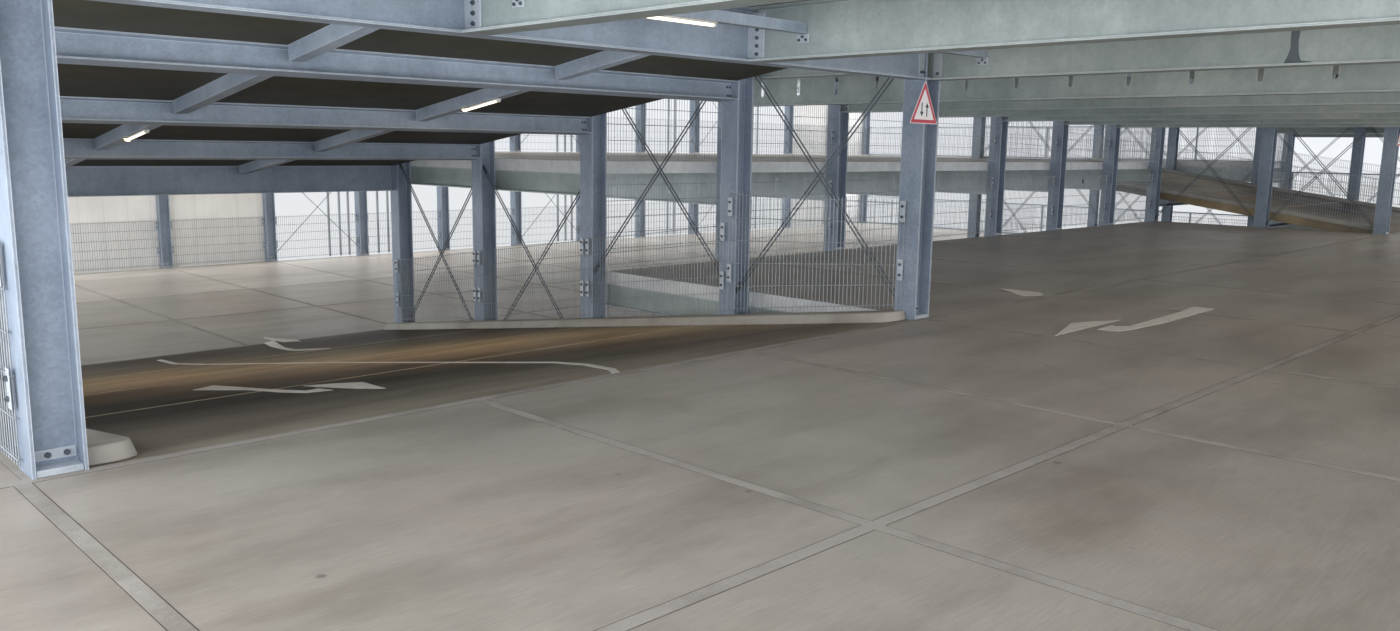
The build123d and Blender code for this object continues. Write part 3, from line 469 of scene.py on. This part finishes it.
def slotted(name, node, top, way, first, count):
    active(nodes[node])
    beams = copy(nodes[node])
    active(beams)
    bpy.ops.object.mode_set(mode="EDIT")
    bpy.ops.mesh.select_all(action="SELECT")
    bpy.ops.mesh.remove_doubles(threshold=0.00005)
    done()
    clear()
    middle = (first, way * 0.62, top - slab - deep_beam / 2)
    bpy.ops.mesh.primitive_cylinder_add(vertices=12, radius=slot_wide / 2, depth=0.03, location=middle,
                                        rotation=(math.radians(15), math.radians(90), 0))
    cutter = bpy.context.object
    bpy.ops.object.transform_apply(location=True, rotation=True, scale=True)
    for way_up in (-1, 1):
        pick(cutter, lambda v: (v.z - middle[2]) * way_up > 0.001, "VERT")
        bpy.ops.transform.translate(value=(0, 0, way_up * (slot_high - slot_wide) / 2))
        done()
    row(cutter, slot_count, (0, way * slot_pitch, 0))
    row(cutter, count, (bay, 0, 0))
    active(beams)
    holes = beams.modifiers.new("slots", "BOOLEAN")
    holes.operation, holes.object, holes.solver = "DIFFERENCE", cutter, "EXACT"
    bpy.ops.object.modifier_apply(modifier="slots")
    bpy.data.objects.remove(cutter)
    return riding(name, [beams], beam_steel if way < 0 else painted_lit_steel, "green_grey_steel", node)


slotted("slotted_beams_a1", "beams_a1", tops_a[1], -1, -6.25, 6)
slotted("slotted_beams_a2", "beams_a2", tops_a[2], -1, -3.75, 5)
slotted("slotted_beams_b1", "beams_b1", tops_b[1], 1, -6.25, 6)
slotted("slotted_beams_b2", "beams_b2", tops_b[2], 1, -6.25, 6)
finish_with(beam_steel, "ramp_side_beams")


# Beam joints: each end of a floor beam is held by a fin plate with four bolts in a line on its web.
# Where two lengths of one beam meet in the lane, the weld is coated with dark zinc paint.
def fins_at(points, top, end_y, way, levels, low=0.525, wide=0.085, count=4, pitch=0.06):
    x = points[0]
    y0, y1 = sorted((end_y, end_y + way * wide))
    plate = block(x - 0.018, x - 0.005, y0, y1, top - low, top - 0.195, 0.002)
    heads = bolt((x - 0.018, end_y + way * wide * 0.6, top - low + 0.028), (-1, 0, 0), 0.015, 0.014)
    row(heads, count, (0, 0, pitch))
    first = joined([of_steel(plate, fitting_steel), heads])
    whole = joined([first] + [copy(first, (px - x, 0, 0)) for px in points[1:]])
    return row(whole, levels, (0, 0, storey))


full_x = [-end_x] + column_x[5:11] + [end_x]
cut_x = [column_x[2], column_x[3], column_x[12], column_x[13]]
parts = []
for way, top in ((-1, tops_a[1]), (1, tops_b[1])):
    parts.append(fins_at(full_x, top, way * 0.125, way, 2, 0.59))
    parts.append(fins_at([-inner_x, inner_x], top, way * 4.995, way, 2, count=2, pitch=0.2))
    parts.append(fins_at(cut_x, top, way * 4.957, way, 2, wide=0.17))
    parts.append(fins_at(column_x, top, way * 15.865, -way, 2))
riding("beam_fins", parts, None, "galvanised_steel")


# a flat outline of points given a little thickness: weld coating, painted marks and sign films
def outline(points, deep, push):
    clear()
    bpy.ops.mesh.primitive_circle_add(vertices=len(points), radius=1, fill_type="NGON")
    piece = bpy.context.object
    for vertex, place in zip(piece.data.vertices, points):
        vertex.co = place
    push = Vector(push)
    pick(piece, lambda c, n: True)
    bpy.ops.mesh.extrude_region_move(TRANSFORM_OT_translate={"value": push * deep})
    bpy.ops.mesh.select_all(action="SELECT")
    bpy.ops.mesh.normals_make_consistent(inside=False)
    done()
    return piece


def painted(name, code, rough, worn, scale):
    material, tree, shader, place = new_finish(name)
    wear = add(tree, "ShaderNodeTexNoise", {"Vector": place, "Scale": scale, "Detail": 6.0, "Roughness": 0.7})
    rubbed = add(tree, "ShaderNodeValToRGB", {"Fac": wear, "stops": [(0.32, grey(0.70)), (0.58, grey(1.0))]})
    tree.links.new(tinted(tree, "MULTIPLY", worn, colour(code), rubbed), shader.inputs["Base Color"])
    shader.inputs["Roughness"].default_value = rough
    tree.links.new(add(tree, "ShaderNodeBump", {"Strength": 0.2, "Distance": 0.001, "Height": wear}),
                   shader.inputs["Normal"])
    return material


weld = [(-8.008, 5.622), (-8.07, 5.622), (-8.068, 5.475), (-8.062, 5.43), (-8.069, 5.35), (-8.077, 5.318),
        (-8.083, 5.298), (-8.092, 5.282), (-8.168, 5.272), (-8.168, 5.263), (-7.976, 5.263), (-7.992, 5.302),
        (-8.001, 5.325), (-8.008, 5.352), (-8.014, 5.38), (-8.01, 5.43)]
mark = outline([(-8.7555, y, z) for y, z in weld], 0.0012, (-1, 0, 0))
parts = [mark, copy(mark, (0, 0, -storey)), copy(mark, (17.5, 0, 0)), copy(mark, (17.5, 0, -storey))]
riding("weld_coating", parts, painted("zinc_paint", "5b6469", 0.6, 0.6, 9.0), "galvanised_steel")


# Ramp steel: girders along the head and foot of each ramp, cross beams at the columns and square tubes between
# them. All are galvanised. Cleats with four bolts hold each cross beam and girder to its columns.
girder_steel = galvanised("girder_steel", "b6c3d2", "9ba9b9", 0.3, 0.36, 0.56, 0.55, rim=0.8)
finish_with(girder_steel, "ramp_girders", "west_cross_beams", "east_cross_beams")
finish_with(girder_steel, "west_ramp_stringers", "east_ramp_stringers")
parts = []
for side, ramps in ((-1, west_ramps), (1, east_ramps[1:])):
    for z_a, z_b in ramps:
        slope = math.atan((z_b - z_a) / (2 * seat_end))
        for y in (-2.5, 0.0, 2.5):
            seat = z_a - slab + (z_b - z_a) * (y + seat_end) / (2 * seat_end)
            for face, way in ((side * (inner_x + 0.12), side), (side * (outer_x - 0.12), -side)):
                x0, x1 = sorted((face + way * 0.002, face + way * 0.095))
                centre = seat - 0.1
                plate = block(x0, x1, y - 0.016, y - 0.0045, centre - 0.078, centre + 0.078, 0.002, 1, slope)
                heads = []
                for dx in (0.027, 0.07):
                    for dz in (-0.045, 0.045):
                        place = (face + way * dx, y - 0.016 - dz * math.sin(slope), centre + dz)
                        heads.append(bolt(place, (0, -1, 0), 0.013, 0.012))
                parts.append(joined([of_steel(plate, fitting_steel)] + heads))
for way, tops in ((-1, tops_a), (1, tops_b)):
    for side in (-1, 1):
        for face, turn in ((side * (inner_x + 0.12), side), (side * (outer_x - 0.12), -side)):
            x0, x1 = sorted((face + turn * 0.002, face + turn * 0.085))
            web = way * 4.95 + way * 0.005
            y0, y1 = sorted((web, web + way * 0.013))
            plate = block(x0, x1, y0, y1, tops[1] - 0.525, tops[1] - 0.195, 0.002)
            heads = bolt((face + turn * 0.025, web + way * 0.013, tops[1] - 0.488), (0, way, 0), 0.013, 0.014)
            row(heads, 2, (turn * 0.035, 0, 0))
            row(heads, 2, (0, 0, 0.24))
            parts.append(row(joined([of_steel(plate, fitting_steel), heads]), 2, (0, 0, storey)))
riding("ramp_cleats", parts, None, "galvanised_steel")


# Purlins: square tubes 75 mm high between the webs of two floor beams, low enough for the lamps to shine freely. They
# run beside the ramps' ends in eight bays, and an angle with three bolts sits under each end.
purlin_bays, purlin_low, purlin_y, purlin_wide = (1, 2, 3, 5, 8, 11, 12, 13), 0.375, 5.5, 0.075
parts = []
for way, tops in ((-1, tops_a), (1, tops_b)):
    for i in purlin_bays:
        low = tops[1] - purlin_low
        y0, y1 = way * purlin_y - purlin_wide / 2, way * purlin_y + purlin_wide / 2
        tube = block(column_x[i] + 0.006, column_x[i + 1] - 0.006, y0, y1, low, low + purlin_wide, 0.005, 2)
        parts.append(row(tube, 2, (0, 0, storey)))
riding("lamp_tubes", parts, girder_steel, "galvanised_steel", "lamp_purlins")
parts = []
for way, tops in ((-1, tops_a), (1, tops_b)):
    for i in purlin_bays:
        for x, turn in ((column_x[i], 1), (column_x[i + 1], -1)):
            face = x + turn * 0.005
            x0, x1 = sorted((face, face + turn * 0.009))
            low = tops[1] - purlin_low - 0.062
            plate = block(x0, x1, way * purlin_y - 0.055, way * purlin_y + 0.055, low, low + 0.058, 0.002)
            heads = [bolt((face + turn * 0.009, way * purlin_y + dy, low + dz), (turn, 0, 0), 0.011, 0.01)
                     for dy, dz in ((-0.032, 0.018), (0.0, 0.04), (0.032, 0.018))]
            parts.append(row(joined([of_steel(plate, fitting_steel)] + heads), 2, (0, 0, storey)))
riding("purlin_cleats", parts, None, "galvanised_steel")


# Bracing: crossed pairs of round rods between the ramp columns, level with the decks they stand beside, and single
# rods in three bays of each facade. They are drawn bars, darker than the sections, screwed into plates.
def round_bar(start, end, radius, sides=8):
    clear()
    start, end = Vector(start), Vector(end)
    way = end - start
    bpy.ops.mesh.primitive_cylinder_add(vertices=sides, radius=radius, depth=way.length, end_fill_type="NGON",
                                        location=(start + end) / 2, rotation=way.to_track_quat("Z", "Y").to_euler())
    piece = bpy.context.object
    bpy.ops.object.transform_apply(location=True, rotation=True, scale=True)
    return piece


def paired_rods(x, y0, z0, y1, z1):
    across = Vector((0, -(z1 - z0), y1 - y0)).normalized() * 0.02
    parts = [round_bar(Vector((x, y0, z0)) + s * across, Vector((x, y1, z1)) + s * across, 0.008) for s in (-1, 1)]
    along = Vector((0, y1 - y0, z1 - z0)).normalized()
    for start, way in ((Vector((x, y0, z0)), along), (Vector((x, y1, z1)), -along)):
        tilt = math.atan2(z1 - z0, y1 - y0)
        middle = start + way * 0.07
        parts.append(block(x - 0.004, x + 0.004, middle.y - 0.07, middle.y + 0.07, middle.z - 0.03, middle.z + 0.03,
                           0.002, 1, tilt))
        parts.append(bolt(start + way * 0.1 + Vector((-0.004, 0, 0)), (-1, 0, 0), 0.013, 0.012))
    return parts


ramp_ys = (-head_y, -2.5, 0.0, 2.5, head_y)


def ramp_rods(xs, floors):
    parts = []
    for n in range(4):
        y0, y1 = ramp_ys[n] + 0.006, ramp_ys[n + 1] - 0.006
        for top in floors[n // 2]:
            low, high = top - 0.01, top + storey - 0.11
            one = joined(paired_rods(xs[0] - 0.011, y0, low, y1, high) + paired_rods(xs[0] + 0.011, y0, high, y1, low))
            parts += [one, copy(one, (xs[1] - xs[0], 0, 0))]
    return parts


rod_steel = galvanised("rod_steel", "7f868d", "61686f", 0.45, 0.3, 0.5, 0.3, 0.01)
riding("west_rods", ramp_rods((-outer_x, -inner_x), (tops_a[1:2], tops_b[:1])), rod_steel, "galvanised_steel",
       "west_ramp_bracing")
riding("east_rods", ramp_rods((inner_x, outer_x), (tops_a[:2], tops_b[:2])), rod_steel, "galvanised_steel",
       "east_ramp_bracing")
parts = []
for way, top in ((-1, tops_a[0]), (1, tops_b[0])):
    for i in (5, 8, 11):
        x0, x1 = column_x[i] + col / 2, column_x[i + 1] - col / 2
        low, high = top + 0.2, top + storey - 0.36
        rods = [round_bar((x0, way * (edge_y - 0.07), low), (x1, way * (edge_y - 0.07), high), 0.008),
                round_bar((x0, way * (edge_y - 0.09), high), (x1, way * (edge_y - 0.09), low), 0.008)]
        parts.append(row(joined(rods), 2, (0, 0, storey)))
riding("facade_rods", parts, rod_steel, "galvanised_steel", "facade_bracing")


# Mesh guards: mats of welded wire, upright wires every 50 mm welded between paired flat wires every 200 mm, the top
# ends left standing as a comb. Plates with two bolts clamp each mat to the columns at two heights.
guard_top, guard_foot, wire, wire_pitch = 1.13, 0.03, 0.0040, 0.05
wire_steel = galvanised("wire_steel", "bcc2c7", "9fa6ad", 0.3, 0.3, 0.5, 0.2, 0.01)


def mat(axis, start, end, line, foot0, top0, foot1, top1, plates, side):
    """One mat along axis 0 (x) or 1 (y), between two places, its foot and top given at both ends."""
    length = end - start
    count = int((length - 0.02) / wire_pitch)
    first = (start + end) / 2 - count * wire_pitch / 2
    high = guard_top - guard_foot

    def at(along, across, z):
        return (along, line + across, z) if axis == 0 else (line + across, along, z)

    step = (wire_pitch, 0, 0) if axis == 0 else (0, wire_pitch, 0)
    upright = row(round_bar(at(first, 0, 0), at(first, 0, high), wire, 4), count + 1, step)
    flat = round_bar(at(start + 0.004, -0.0062, 0.035), at(end - 0.004, -0.0062, 0.035), 0.0038, 4)
    row(flat, 2, (0, 0.0124, 0) if axis == 0 else (0.0124, 0, 0))
    row(flat, 6, (0, 0, (high - 0.065) / 5))
    whole = of_steel(joined([upright, flat]), wire_steel)
    for vertex in whole.data.vertices:
        share = (vertex.co[axis] - start) / length
        low = foot0 + (foot1 - foot0) * share
        tall = top0 - foot0 + (top1 - foot1 - top0 + foot0) * share
        vertex.co.z = low + vertex.co.z * tall / high
    if plates:
        fixings = []
        for a0, z_low, z_high in ((start, foot0, top0), (end - 0.07, foot1, top1)):
            near, far = sorted((side * 0.0105, side * 0.0165))
            for share in (0.26, 0.80):
                low = z_low + (z_high - z_low) * share
                lows, highs = at(a0 + 0.005, near, low), at(a0 + 0.065, far, low + 0.2)
                plate = block(min(lows[0], highs[0]), max(lows[0], highs[0]), min(lows[1], highs[1]),
                              max(lows[1], highs[1]), low, low + 0.2, 0.002)
                out = (0, side, 0) if axis == 0 else (side, 0, 0)
                heads = [bolt(at(a0 + 0.035, side * 0.0165, low + dz), out, 0.015, 0.012) for dz in (0.05, 0.15)]
                fixings += [of_steel(plate, fitting_steel)] + heads
        whole = joined([whole] + fixings)
    return whole


def between(xs):
    return [(a + col / 2 + 0.002, b - col / 2 - 0.002) for a, b in zip(xs[:-1], xs[1:])]


def level_mats(name, gaps, y, floors, side, replaced):
    parts, made = [], {}
    for x0, x1 in gaps:
        wide = round(x1 - x0, 3)
        if wide not in made:
            z0, z1 = floors[0] + guard_foot, floors[0] + guard_top
            made[wide] = (x0, mat(0, x0, x1, y, z0, z1, z0, z1, True, side))
            parts.append(made[wide][1])
        else:
            origin, first = made[wide]
            parts.append(copy(first, (x0 - origin, 0, 0)))
    whole = row(joined(parts), len(floors), (0, 0, storey))
    return riding(name, [whole], None, "guard_steel", replaced)


middle_x = [-inner_x] + column_x[5:11] + [inner_x]
split_gaps = between([-end_x, -outer_x]) + between(middle_x) + between([outer_x, end_x])
level_mats("south_mesh", between(column_x), -edge_y, tops_a, 1, "south_guards")
level_mats("north_mesh", between(column_x), edge_y, tops_b, -1, "north_guards")
level_mats("split_mesh_a", split_gaps, 0.0, tops_a[1:], -1, "split_guards_a")
level_mats("split_mesh_b", split_gaps, 0.0, tops_b, -1, "split_guards_b")


# Ramp guards: the same mats on the column flanges that face away from the middle, over the kerbs. Where the deck lies
# above the ramp, the outer row is level with the deck, and the mat at the ramp's head is as high as the deck's.
shift, apart, over_ramp, mat_high = 0.1353, 0.02, 0.12, 1.01


def ramp_mats(ramps, side):
    parts = []
    for z_a, z_b in ramps:
        beside, deck_top = ((0, 1), z_a) if z_a > z_b else ((3, 2), z_b)
        for inner, x in ((False, side * (outer_x + shift)), (True, side * (inner_x + shift))):
            for n in range(4):
                y0, y1 = ramp_ys[n] + apart, ramp_ys[n + 1] - apart
                foot0, foot1 = ramp_z(z_a, z_b, y0) + over_ramp, ramp_z(z_a, z_b, y1) + over_ramp
                top0, top1 = foot0 + mat_high, foot1 + mat_high
                if inner and n == beside[0]:
                    top0 = top1 = deck_top + guard_top
                if not inner and n in beside:
                    foot0 = foot1 = deck_top + guard_foot
                    top0 = top1 = deck_top + guard_top
                parts.append(mat(1, y0, y1, x, foot0, top0, foot1, top1, True, side))
    return parts


riding("ramp_mesh_west", ramp_mats(west_ramps, -1), None, "guard_steel", "west_ramp_guards")
riding("ramp_mesh_east", ramp_mats(east_ramps, 1), None, "guard_steel", "east_ramp_guards")


# End guards: framed guards of flat tube on the slab edges of both ends and round the well over the upper ramp.
# The frames are shown as the CAD has them, and mats of welded wire fill their openings.
finish_with(galvanised("frame_steel", "b4bdc5", "99a4ae", 0.3, 0.34, 0.55, 0.4, 0.012),
            "end_guards_a", "end_guards_b", "well_guards")
parts = []
for x in (-18.71, 18.71):
    for floors, y0, y1, count in ((tops_a[1:], -15.86, -0.14, 6), (tops_b, 0.14, 15.86, 6),
                                  (tops_a[:1], -15.86, -11.11, 2), (tops_a[:1], -5.0, -0.14, 2)):
        pitch_y = (y1 - y0 - 0.04) / count
        z0, z1 = floors[0] + 0.041, floors[0] + 1.089
        one = mat(1, y0 + 0.041, y0 + pitch_y - 0.001, x, z0, z1, z0, z1, False, 1)
        row(one, count, (0, pitch_y, 0))
        parts.append(row(one, len(floors), (0, 0, storey)))
z0, z1 = tops_b[2] + 0.041, tops_b[2] + 1.089
one = mat(0, -15.919, -13.618, 5.045, z0, z1, z0, z1, False, 1)
parts.append(row(one, 3, (2.35, 0, 0)))
for x in (-outer_x - shift, -inner_x + shift):
    for n in (2, 3):
        y0, y1 = ramp_ys[n] + apart + 0.12, ramp_ys[n + 1] - apart - 0.12
        parts.append(mat(1, y0 + 0.001, y1 - 0.001, x, z0 + 0.02, z1, z0 + 0.02, z1, False, 1))
riding("end_mesh", parts, None, "guard_steel")


# Edge trims: zinc-coated strips that close the slab edges, fixed flat against the concrete. They are the palest steel
# of the building.
trim_steel = galvanised("trim_steel", "eef1f2", "d6dadc", 0.25, 0.35, 0.5, 0.3, 0.015)
finish_with(trim_steel, "deck_trims")


# Facades: slender upright bars outside the guards, and closed panels of coated sheet at both ends of the north side.
# Each panel shows a seam every half metre.
finish_with(wire_steel, "south_bars", "north_bars")


def coated_sheet(name, code):
    material, tree, shader, place = new_finish(name)
    dust = add(tree, "ShaderNodeTexNoise", {"Vector": place, "Scale": 0.9, "Detail": 6.0, "Roughness": 0.6})
    falling = add(tree, "ShaderNodeMapping", {"Vector": place, "Scale": (7.0, 7.0, 0.5)})
    rain = add(tree, "ShaderNodeTexNoise", {"Vector": falling, "Scale": 1.0, "Detail": 4.0, "Roughness": 0.6})
    along = add(tree, "ShaderNodeSeparateXYZ", {"Vector": place}, "X")
    seam = add(tree, "ShaderNodeMath", {"operation": "PINGPONG", 0: along, 1: 0.25})
    line = add(tree, "ShaderNodeValToRGB", {"Fac": seam, "stops": [(0.004, grey(0.86)), (0.012, grey(1.0))]})
    film = add(tree, "ShaderNodeValToRGB", {"Fac": dust, "stops": [(0.35, grey(0.88)), (0.65, grey(1.02))]})
    wash = add(tree, "ShaderNodeValToRGB", {"Fac": rain, "stops": [(0.35, grey(0.90)), (0.6, grey(1.0))]})
    base = tinted(tree, "MULTIPLY", 0.7, colour(code), film)
    base = tinted(tree, "MULTIPLY", 0.5, base, wash)
    tree.links.new(tinted(tree, "MULTIPLY", 0.8, base, line), shader.inputs["Base Color"])
    shader.inputs["Roughness"].default_value = 0.5
    tree.links.new(add(tree, "ShaderNodeBump", {"Strength": 0.5, "Distance": 0.004, "Height": line}),
                   shader.inputs["Normal"])
    return material


finish_with(coated_sheet("panel_paint", "f3f2ef"), "north_panels")


# Lamps: strip lamps 640 mm long, a shallow white tray with a rounded glowing cover and two end caps. They hang under
# the purlins, and two more hang under the tubes of the upper west ramp.
lamp_glow, tree, shader, place = new_finish("lamp_glow")
shader.inputs["Base Color"].default_value = colour("fff6e2")
gleam = add(tree, "ShaderNodeTexNoise", {"Vector": place, "Scale": 0.8, "Detail": 1.0, "Roughness": 0.5})
warm = add(tree, "ShaderNodeValToRGB", {"Fac": gleam, "stops": [(0.3, colour("ffecd0")), (0.7, colour("fff2de"))]})
tree.links.new(warm, shader.inputs["Emission Color"])
shader.inputs["Emission Strength"].default_value = 1.6
tray_paint = painted("tray_paint", "d9d9d4", 0.45, 0.2, 5.0)


def lamp(x, y, z):
    tray = block(x - 0.32, x + 0.32, y - 0.03, y + 0.03, z - 0.014, z, 0.004, 2)
    pick(tray, lambda c, n: n.z < -0.9)
    bpy.ops.mesh.inset(thickness=0.006, depth=0)
    done()
    caps = [block(x + s * 0.31 - 0.01, x + s * 0.31 + 0.01, y - 0.022, y + 0.022, z - 0.034, z - 0.012, 0.005, 3)
            for s in (-1, 1)]
    cover = round_bar((x - 0.3, y, z - 0.015), (x + 0.3, y, z - 0.015), 0.0175, 24)
    body = joined([tray] + caps)
    body.data.materials.append(tray_paint)
    cover.data.materials.append(lamp_glow)
    bpy.ops.object.shade_smooth_by_angle(angle=math.radians(40))
    return joined([body, cover])


def moved(piece, matrix):
    piece.data.transform(matrix)
    return piece


parts = []
for way, tops in ((-1, tops_a), (1, tops_b)):
    for i in (2, 5, 8, 12):
        x = (column_x[i] + column_x[i + 1]) / 2
        parts.append(row(lamp(x, way * purlin_y, tops[1] - purlin_low), 2, (0, 0, storey)))
slope = math.atan(-half_storey / (2 * seat_end))
for x, y in ((-11.25, -1.28), (-13.75, 1.18)):
    z = tops_a[2] - slab - half_storey * (y + seat_end) / (2 * seat_end) - 0.1225
    turn = Matrix.Translation((x, y, z)) @ Matrix.Rotation(slope, 4, "X") @ Matrix.Rotation(math.radians(90), 4, "Z")
    parts.append(moved(lamp(0, 0, 0), turn))
riding("strip_lamps", parts, None, "lamp_white", "lamps")


# Signs: triangular two-way traffic signs at the head of each upper ramp, a white sheet with a red film and a white
# one over it that leaves a red border, and two upright arrows. The sheet is screwed to the column.
sign_red = painted("sign_red", "c9485a", 0.35, 0.15, 6.0)
sign_white = painted("sign_white", "f4f4f6", 0.35, 0.10, 6.0)
sign_black = painted("sign_black", "17181b", 0.4, 0.1, 6.0)


def triangle(x, y, low, side, inset, material):
    side -= inset * 2 * math.sqrt(3)
    tall = side * math.sin(math.radians(60))
    corners = [(x - side / 2, y, low + inset), (x + side / 2, y, low + inset), (x, y, low + inset + tall)]
    sheet = outline(corners, 0.003 if inset == 0 else 0.0006, (0, -1, 0))
    pick(sheet, lambda a, b: abs(a.y - b.y) > 0.0003, "EDGE")
    bpy.ops.mesh.bevel(offset=max(0.004, 0.022 - inset), segments=4, affect="EDGES")
    done()
    return of_steel(sheet, material)


def sign(x):
    low, y = 4.845, -4.99
    layers = [triangle(x, y, low, 0.455, 0, sign_white), triangle(x, y - 0.0028, low, 0.455, 0.006, sign_red),
              triangle(x, y - 0.0032, low, 0.455, 0.037, sign_white)]
    for dx, up in ((-0.042, -1), (0.042, 1)):
        middle = low + 0.128
        shape = [(-0.008, -0.062), (0.008, -0.062), (0.008, 0.020), (0.028, 0.020), (0.0, 0.062), (-0.028, 0.020),
                 (-0.008, 0.020)]
        arrow = outline([(x + dx + a, y - 0.0036, middle + up * b) for a, b in shape], 0.0006, (0, -1, 0))
        layers.append(of_steel(arrow, sign_black))
    return layers


riding("two_way_signs", sign(-inner_x - 0.13) + sign(inner_x + 0.13), None, "sign_face", "ramp_signs")


# Marks: worn white arrows in the lane and on the west ramps, and the curved line that parts the two ways there.
def on_deck(points, top):
    return outline([(x, y, top - 0.001) for x, y in points], 0.0034, (0, 0, 1))


def on_ramp(points, z_a, z_b):
    return follow(outline([(x, y, -0.001) for x, y in points], 0.0034, (0, 0, 1)), z_a, z_b)


lane_head = [(-8.645, -6.302), (-7.858, -6.301), (-7.283, -6.298), (-7.852, -6.07)]
lane_shaft = [(-8.016, -6.397), (-8.001, -6.488), (-7.951, -6.585), (-7.826, -6.611), (-7.139, -6.663), (-6.32, -6.64),
              (-5.771, -6.635), (-5.781, -6.424), (-6.353, -6.479), (-7.602, -6.515), (-7.71, -6.448),
              (-7.663, -6.381), (-7.82, -6.391)]
stall_mark = [(-6.463, -4.815), (-6.236, -4.948), (-6.047, -4.811), (-6.046, -4.405), (-6.096, -4.329)]
ramp_left = [(-14.203, -1.298), (-14.025, -2.078), (-14.013, -2.637), (-13.964, -2.981), (-13.794, -3.087),
             (-13.777, -2.796), (-13.889, -2.816), (-13.933, -2.329), (-13.949, -1.786), (-13.963, -1.112)]
ramp_right = [(-13.727, -2.397), (-13.71, -2.874), (-13.679, -3.235), (-13.61, -3.547), (-13.424, -2.837),
              (-13.566, -2.573)]
foot_head = [(-10.788, 5.54), (-10.504, 4.983), (-10.697, 4.424), (-10.67, 4.642), (-10.801, 4.793), (-10.824, 5.44)]
foot_tail = [(-10.986, 5.052), (-10.793, 5.196), (-11.064, 4.308), (-11.39, 3.369), (-11.565, 2.656), (-11.499, 2.462),
             (-11.382, 2.032), (-11.439, 1.892), (-11.588, 2.044), (-11.68, 2.282), (-11.668, 2.628), (-11.513, 3.276),
             (-11.326, 3.973)]
divide = [(-12.768, 4.088), (-12.992, 2.804), (-12.948, 1.982), (-12.506, -0.353), (-12.322, -1.935),
          (-12.123, -3.638), (-12.198, -4.154), (-12.396, -4.702), (-12.55, -4.93)]
divider = [(x - 0.035, y) for x, y in divide] + [(x + 0.035, y) for x, y in reversed(divide)]
parts = []
for top in tops_a[1:]:
    parts += [on_deck(lane_head, top), on_deck(lane_shaft, top), on_deck(stall_mark, top)]
for z_a, z_b in west_ramps:
    parts += [on_ramp(shape, z_a, z_b) for shape in (ramp_left, ramp_right, foot_head, foot_tail, divider)]
riding("floor_marks", parts, painted("line_paint", "d8d5ce", 0.6, 0.85, 14.0), "concrete")


# Surroundings: a pale ground and an even pale sky that shows white behind the building, and broad soft lamps under
# the ceilings that stand for the daylight from the open sides.
bpy.ops.mesh.primitive_plane_add(size=400, location=(0, 0, -0.01))
ground = bpy.context.object
ground.name = "ground"
bpy.ops.object.transform_apply(location=True, rotation=True, scale=True)
ground.data.materials.append(painted("ground_paint", "e4e4e2", 0.9, 0.05, 0.2))

world = bpy.data.worlds.new("sky")
bpy.context.scene.world = world
world.use_nodes = True
tree = world.node_tree
sky = tree.nodes["Background"]
sky.inputs["Color"].default_value = colour("f4f7fc")
path = add(tree, "ShaderNodeLightPath", {}, "Is Camera Ray")
glossy = add(tree, "ShaderNodeLightPath", {}, "Is Glossy Ray")
through = add(tree, "ShaderNodeLightPath", {}, "Is Transmission Ray")
either = add(tree, "ShaderNodeMath", {"operation": "MAXIMUM", 0: path, 1: glossy})
either = add(tree, "ShaderNodeMath", {"operation": "MAXIMUM", 0: either, 1: through})
strength = add(tree, "ShaderNodeMix", {"data_type": "FLOAT", 0: either, 2: 1.15, 3: 1.0})
tree.links.new(strength, sky.inputs["Strength"])


def soft_light(name, place, turn, wide, deep, radiance, tint="fbfcff"):
    bpy.ops.object.light_add(type="AREA", location=place, rotation=turn)
    light = bpy.context.object
    light.name = light.data.name = name
    light.data.shape = "RECTANGLE"
    light.data.size, light.data.size_y = wide, deep
    light.data.energy = radiance * math.pi * wide * deep
    light.data.color = colour(tint)[:3]
    light.visible_camera = light.visible_glossy = False
    return light.data


lane_lights = ((-18.6, -11.0, 0.83), (-11.0, -3.5, 0.5), (-3.5, 4.0, 0.5), (4.0, 11.0, 0.8), (11.0, 18.6, 1.05))
end_light, side_high, end_wide = 18.45, 1.9, 13.9
for n, (way, ceiling) in enumerate(((-1, tops_a[1]), (-1, tops_a[2]), (1, tops_b[1]), (1, tops_b[2]))):
    z = ceiling - 0.175
    for x0, x1, strength in lane_lights:
        tint = "fbfcff" if abs(x0 + x1) > 25 else "fff3e4"
        soft_light(f"lane_{n}", ((x0 + x1) / 2, way * 10.45, z), (0, 0, 0), x1 - x0, 10.7, strength, tint)
    soft_light(f"stalls_{n}", (0, way * 2.6, z), (0, 0, 0), 17.2, 4.8, 0.36)
    side_z, end_y = ceiling - 1.55, way * 8.75
    side_glow, west_glow, east_glow = (3.1, 6.0, 3.2) if way < 0 else (4.0, 4.8, 3.2)
    soft_light(f"side_{n}", (0, way * 15.82, side_z), (math.radians(-90 * way), 0, 0), 37.0, side_high, side_glow)
    soft_light(f"west_{n}", (-end_light, end_y, side_z), (0, math.radians(-90), 0), side_high, end_wide, west_glow)
    soft_light(f"east_{n}", (end_light, end_y, side_z), (0, math.radians(90), 0), side_high, end_wide, east_glow)
    soft_light(f"wall_{n}", (0, way * 11.0, ceiling - 1.9), (math.radians(90 * way), 0, 0), 36.0, 1.4, 1.1)
for n, (x, y, z) in enumerate(((-11.25, -1.28, 4.95), (-13.75, 1.18, 4.6))):
    soft_light(f"ramp_lamp_{n}", (x, y, z), (0, 0, 0), 0.12, 0.6, 55.0, "ffdca8")
soft_light("ramp_ceiling", (-12.4, -4.6, 4.3), (math.radians(115), 0, 0), 6.6, 0.8, 1.9)
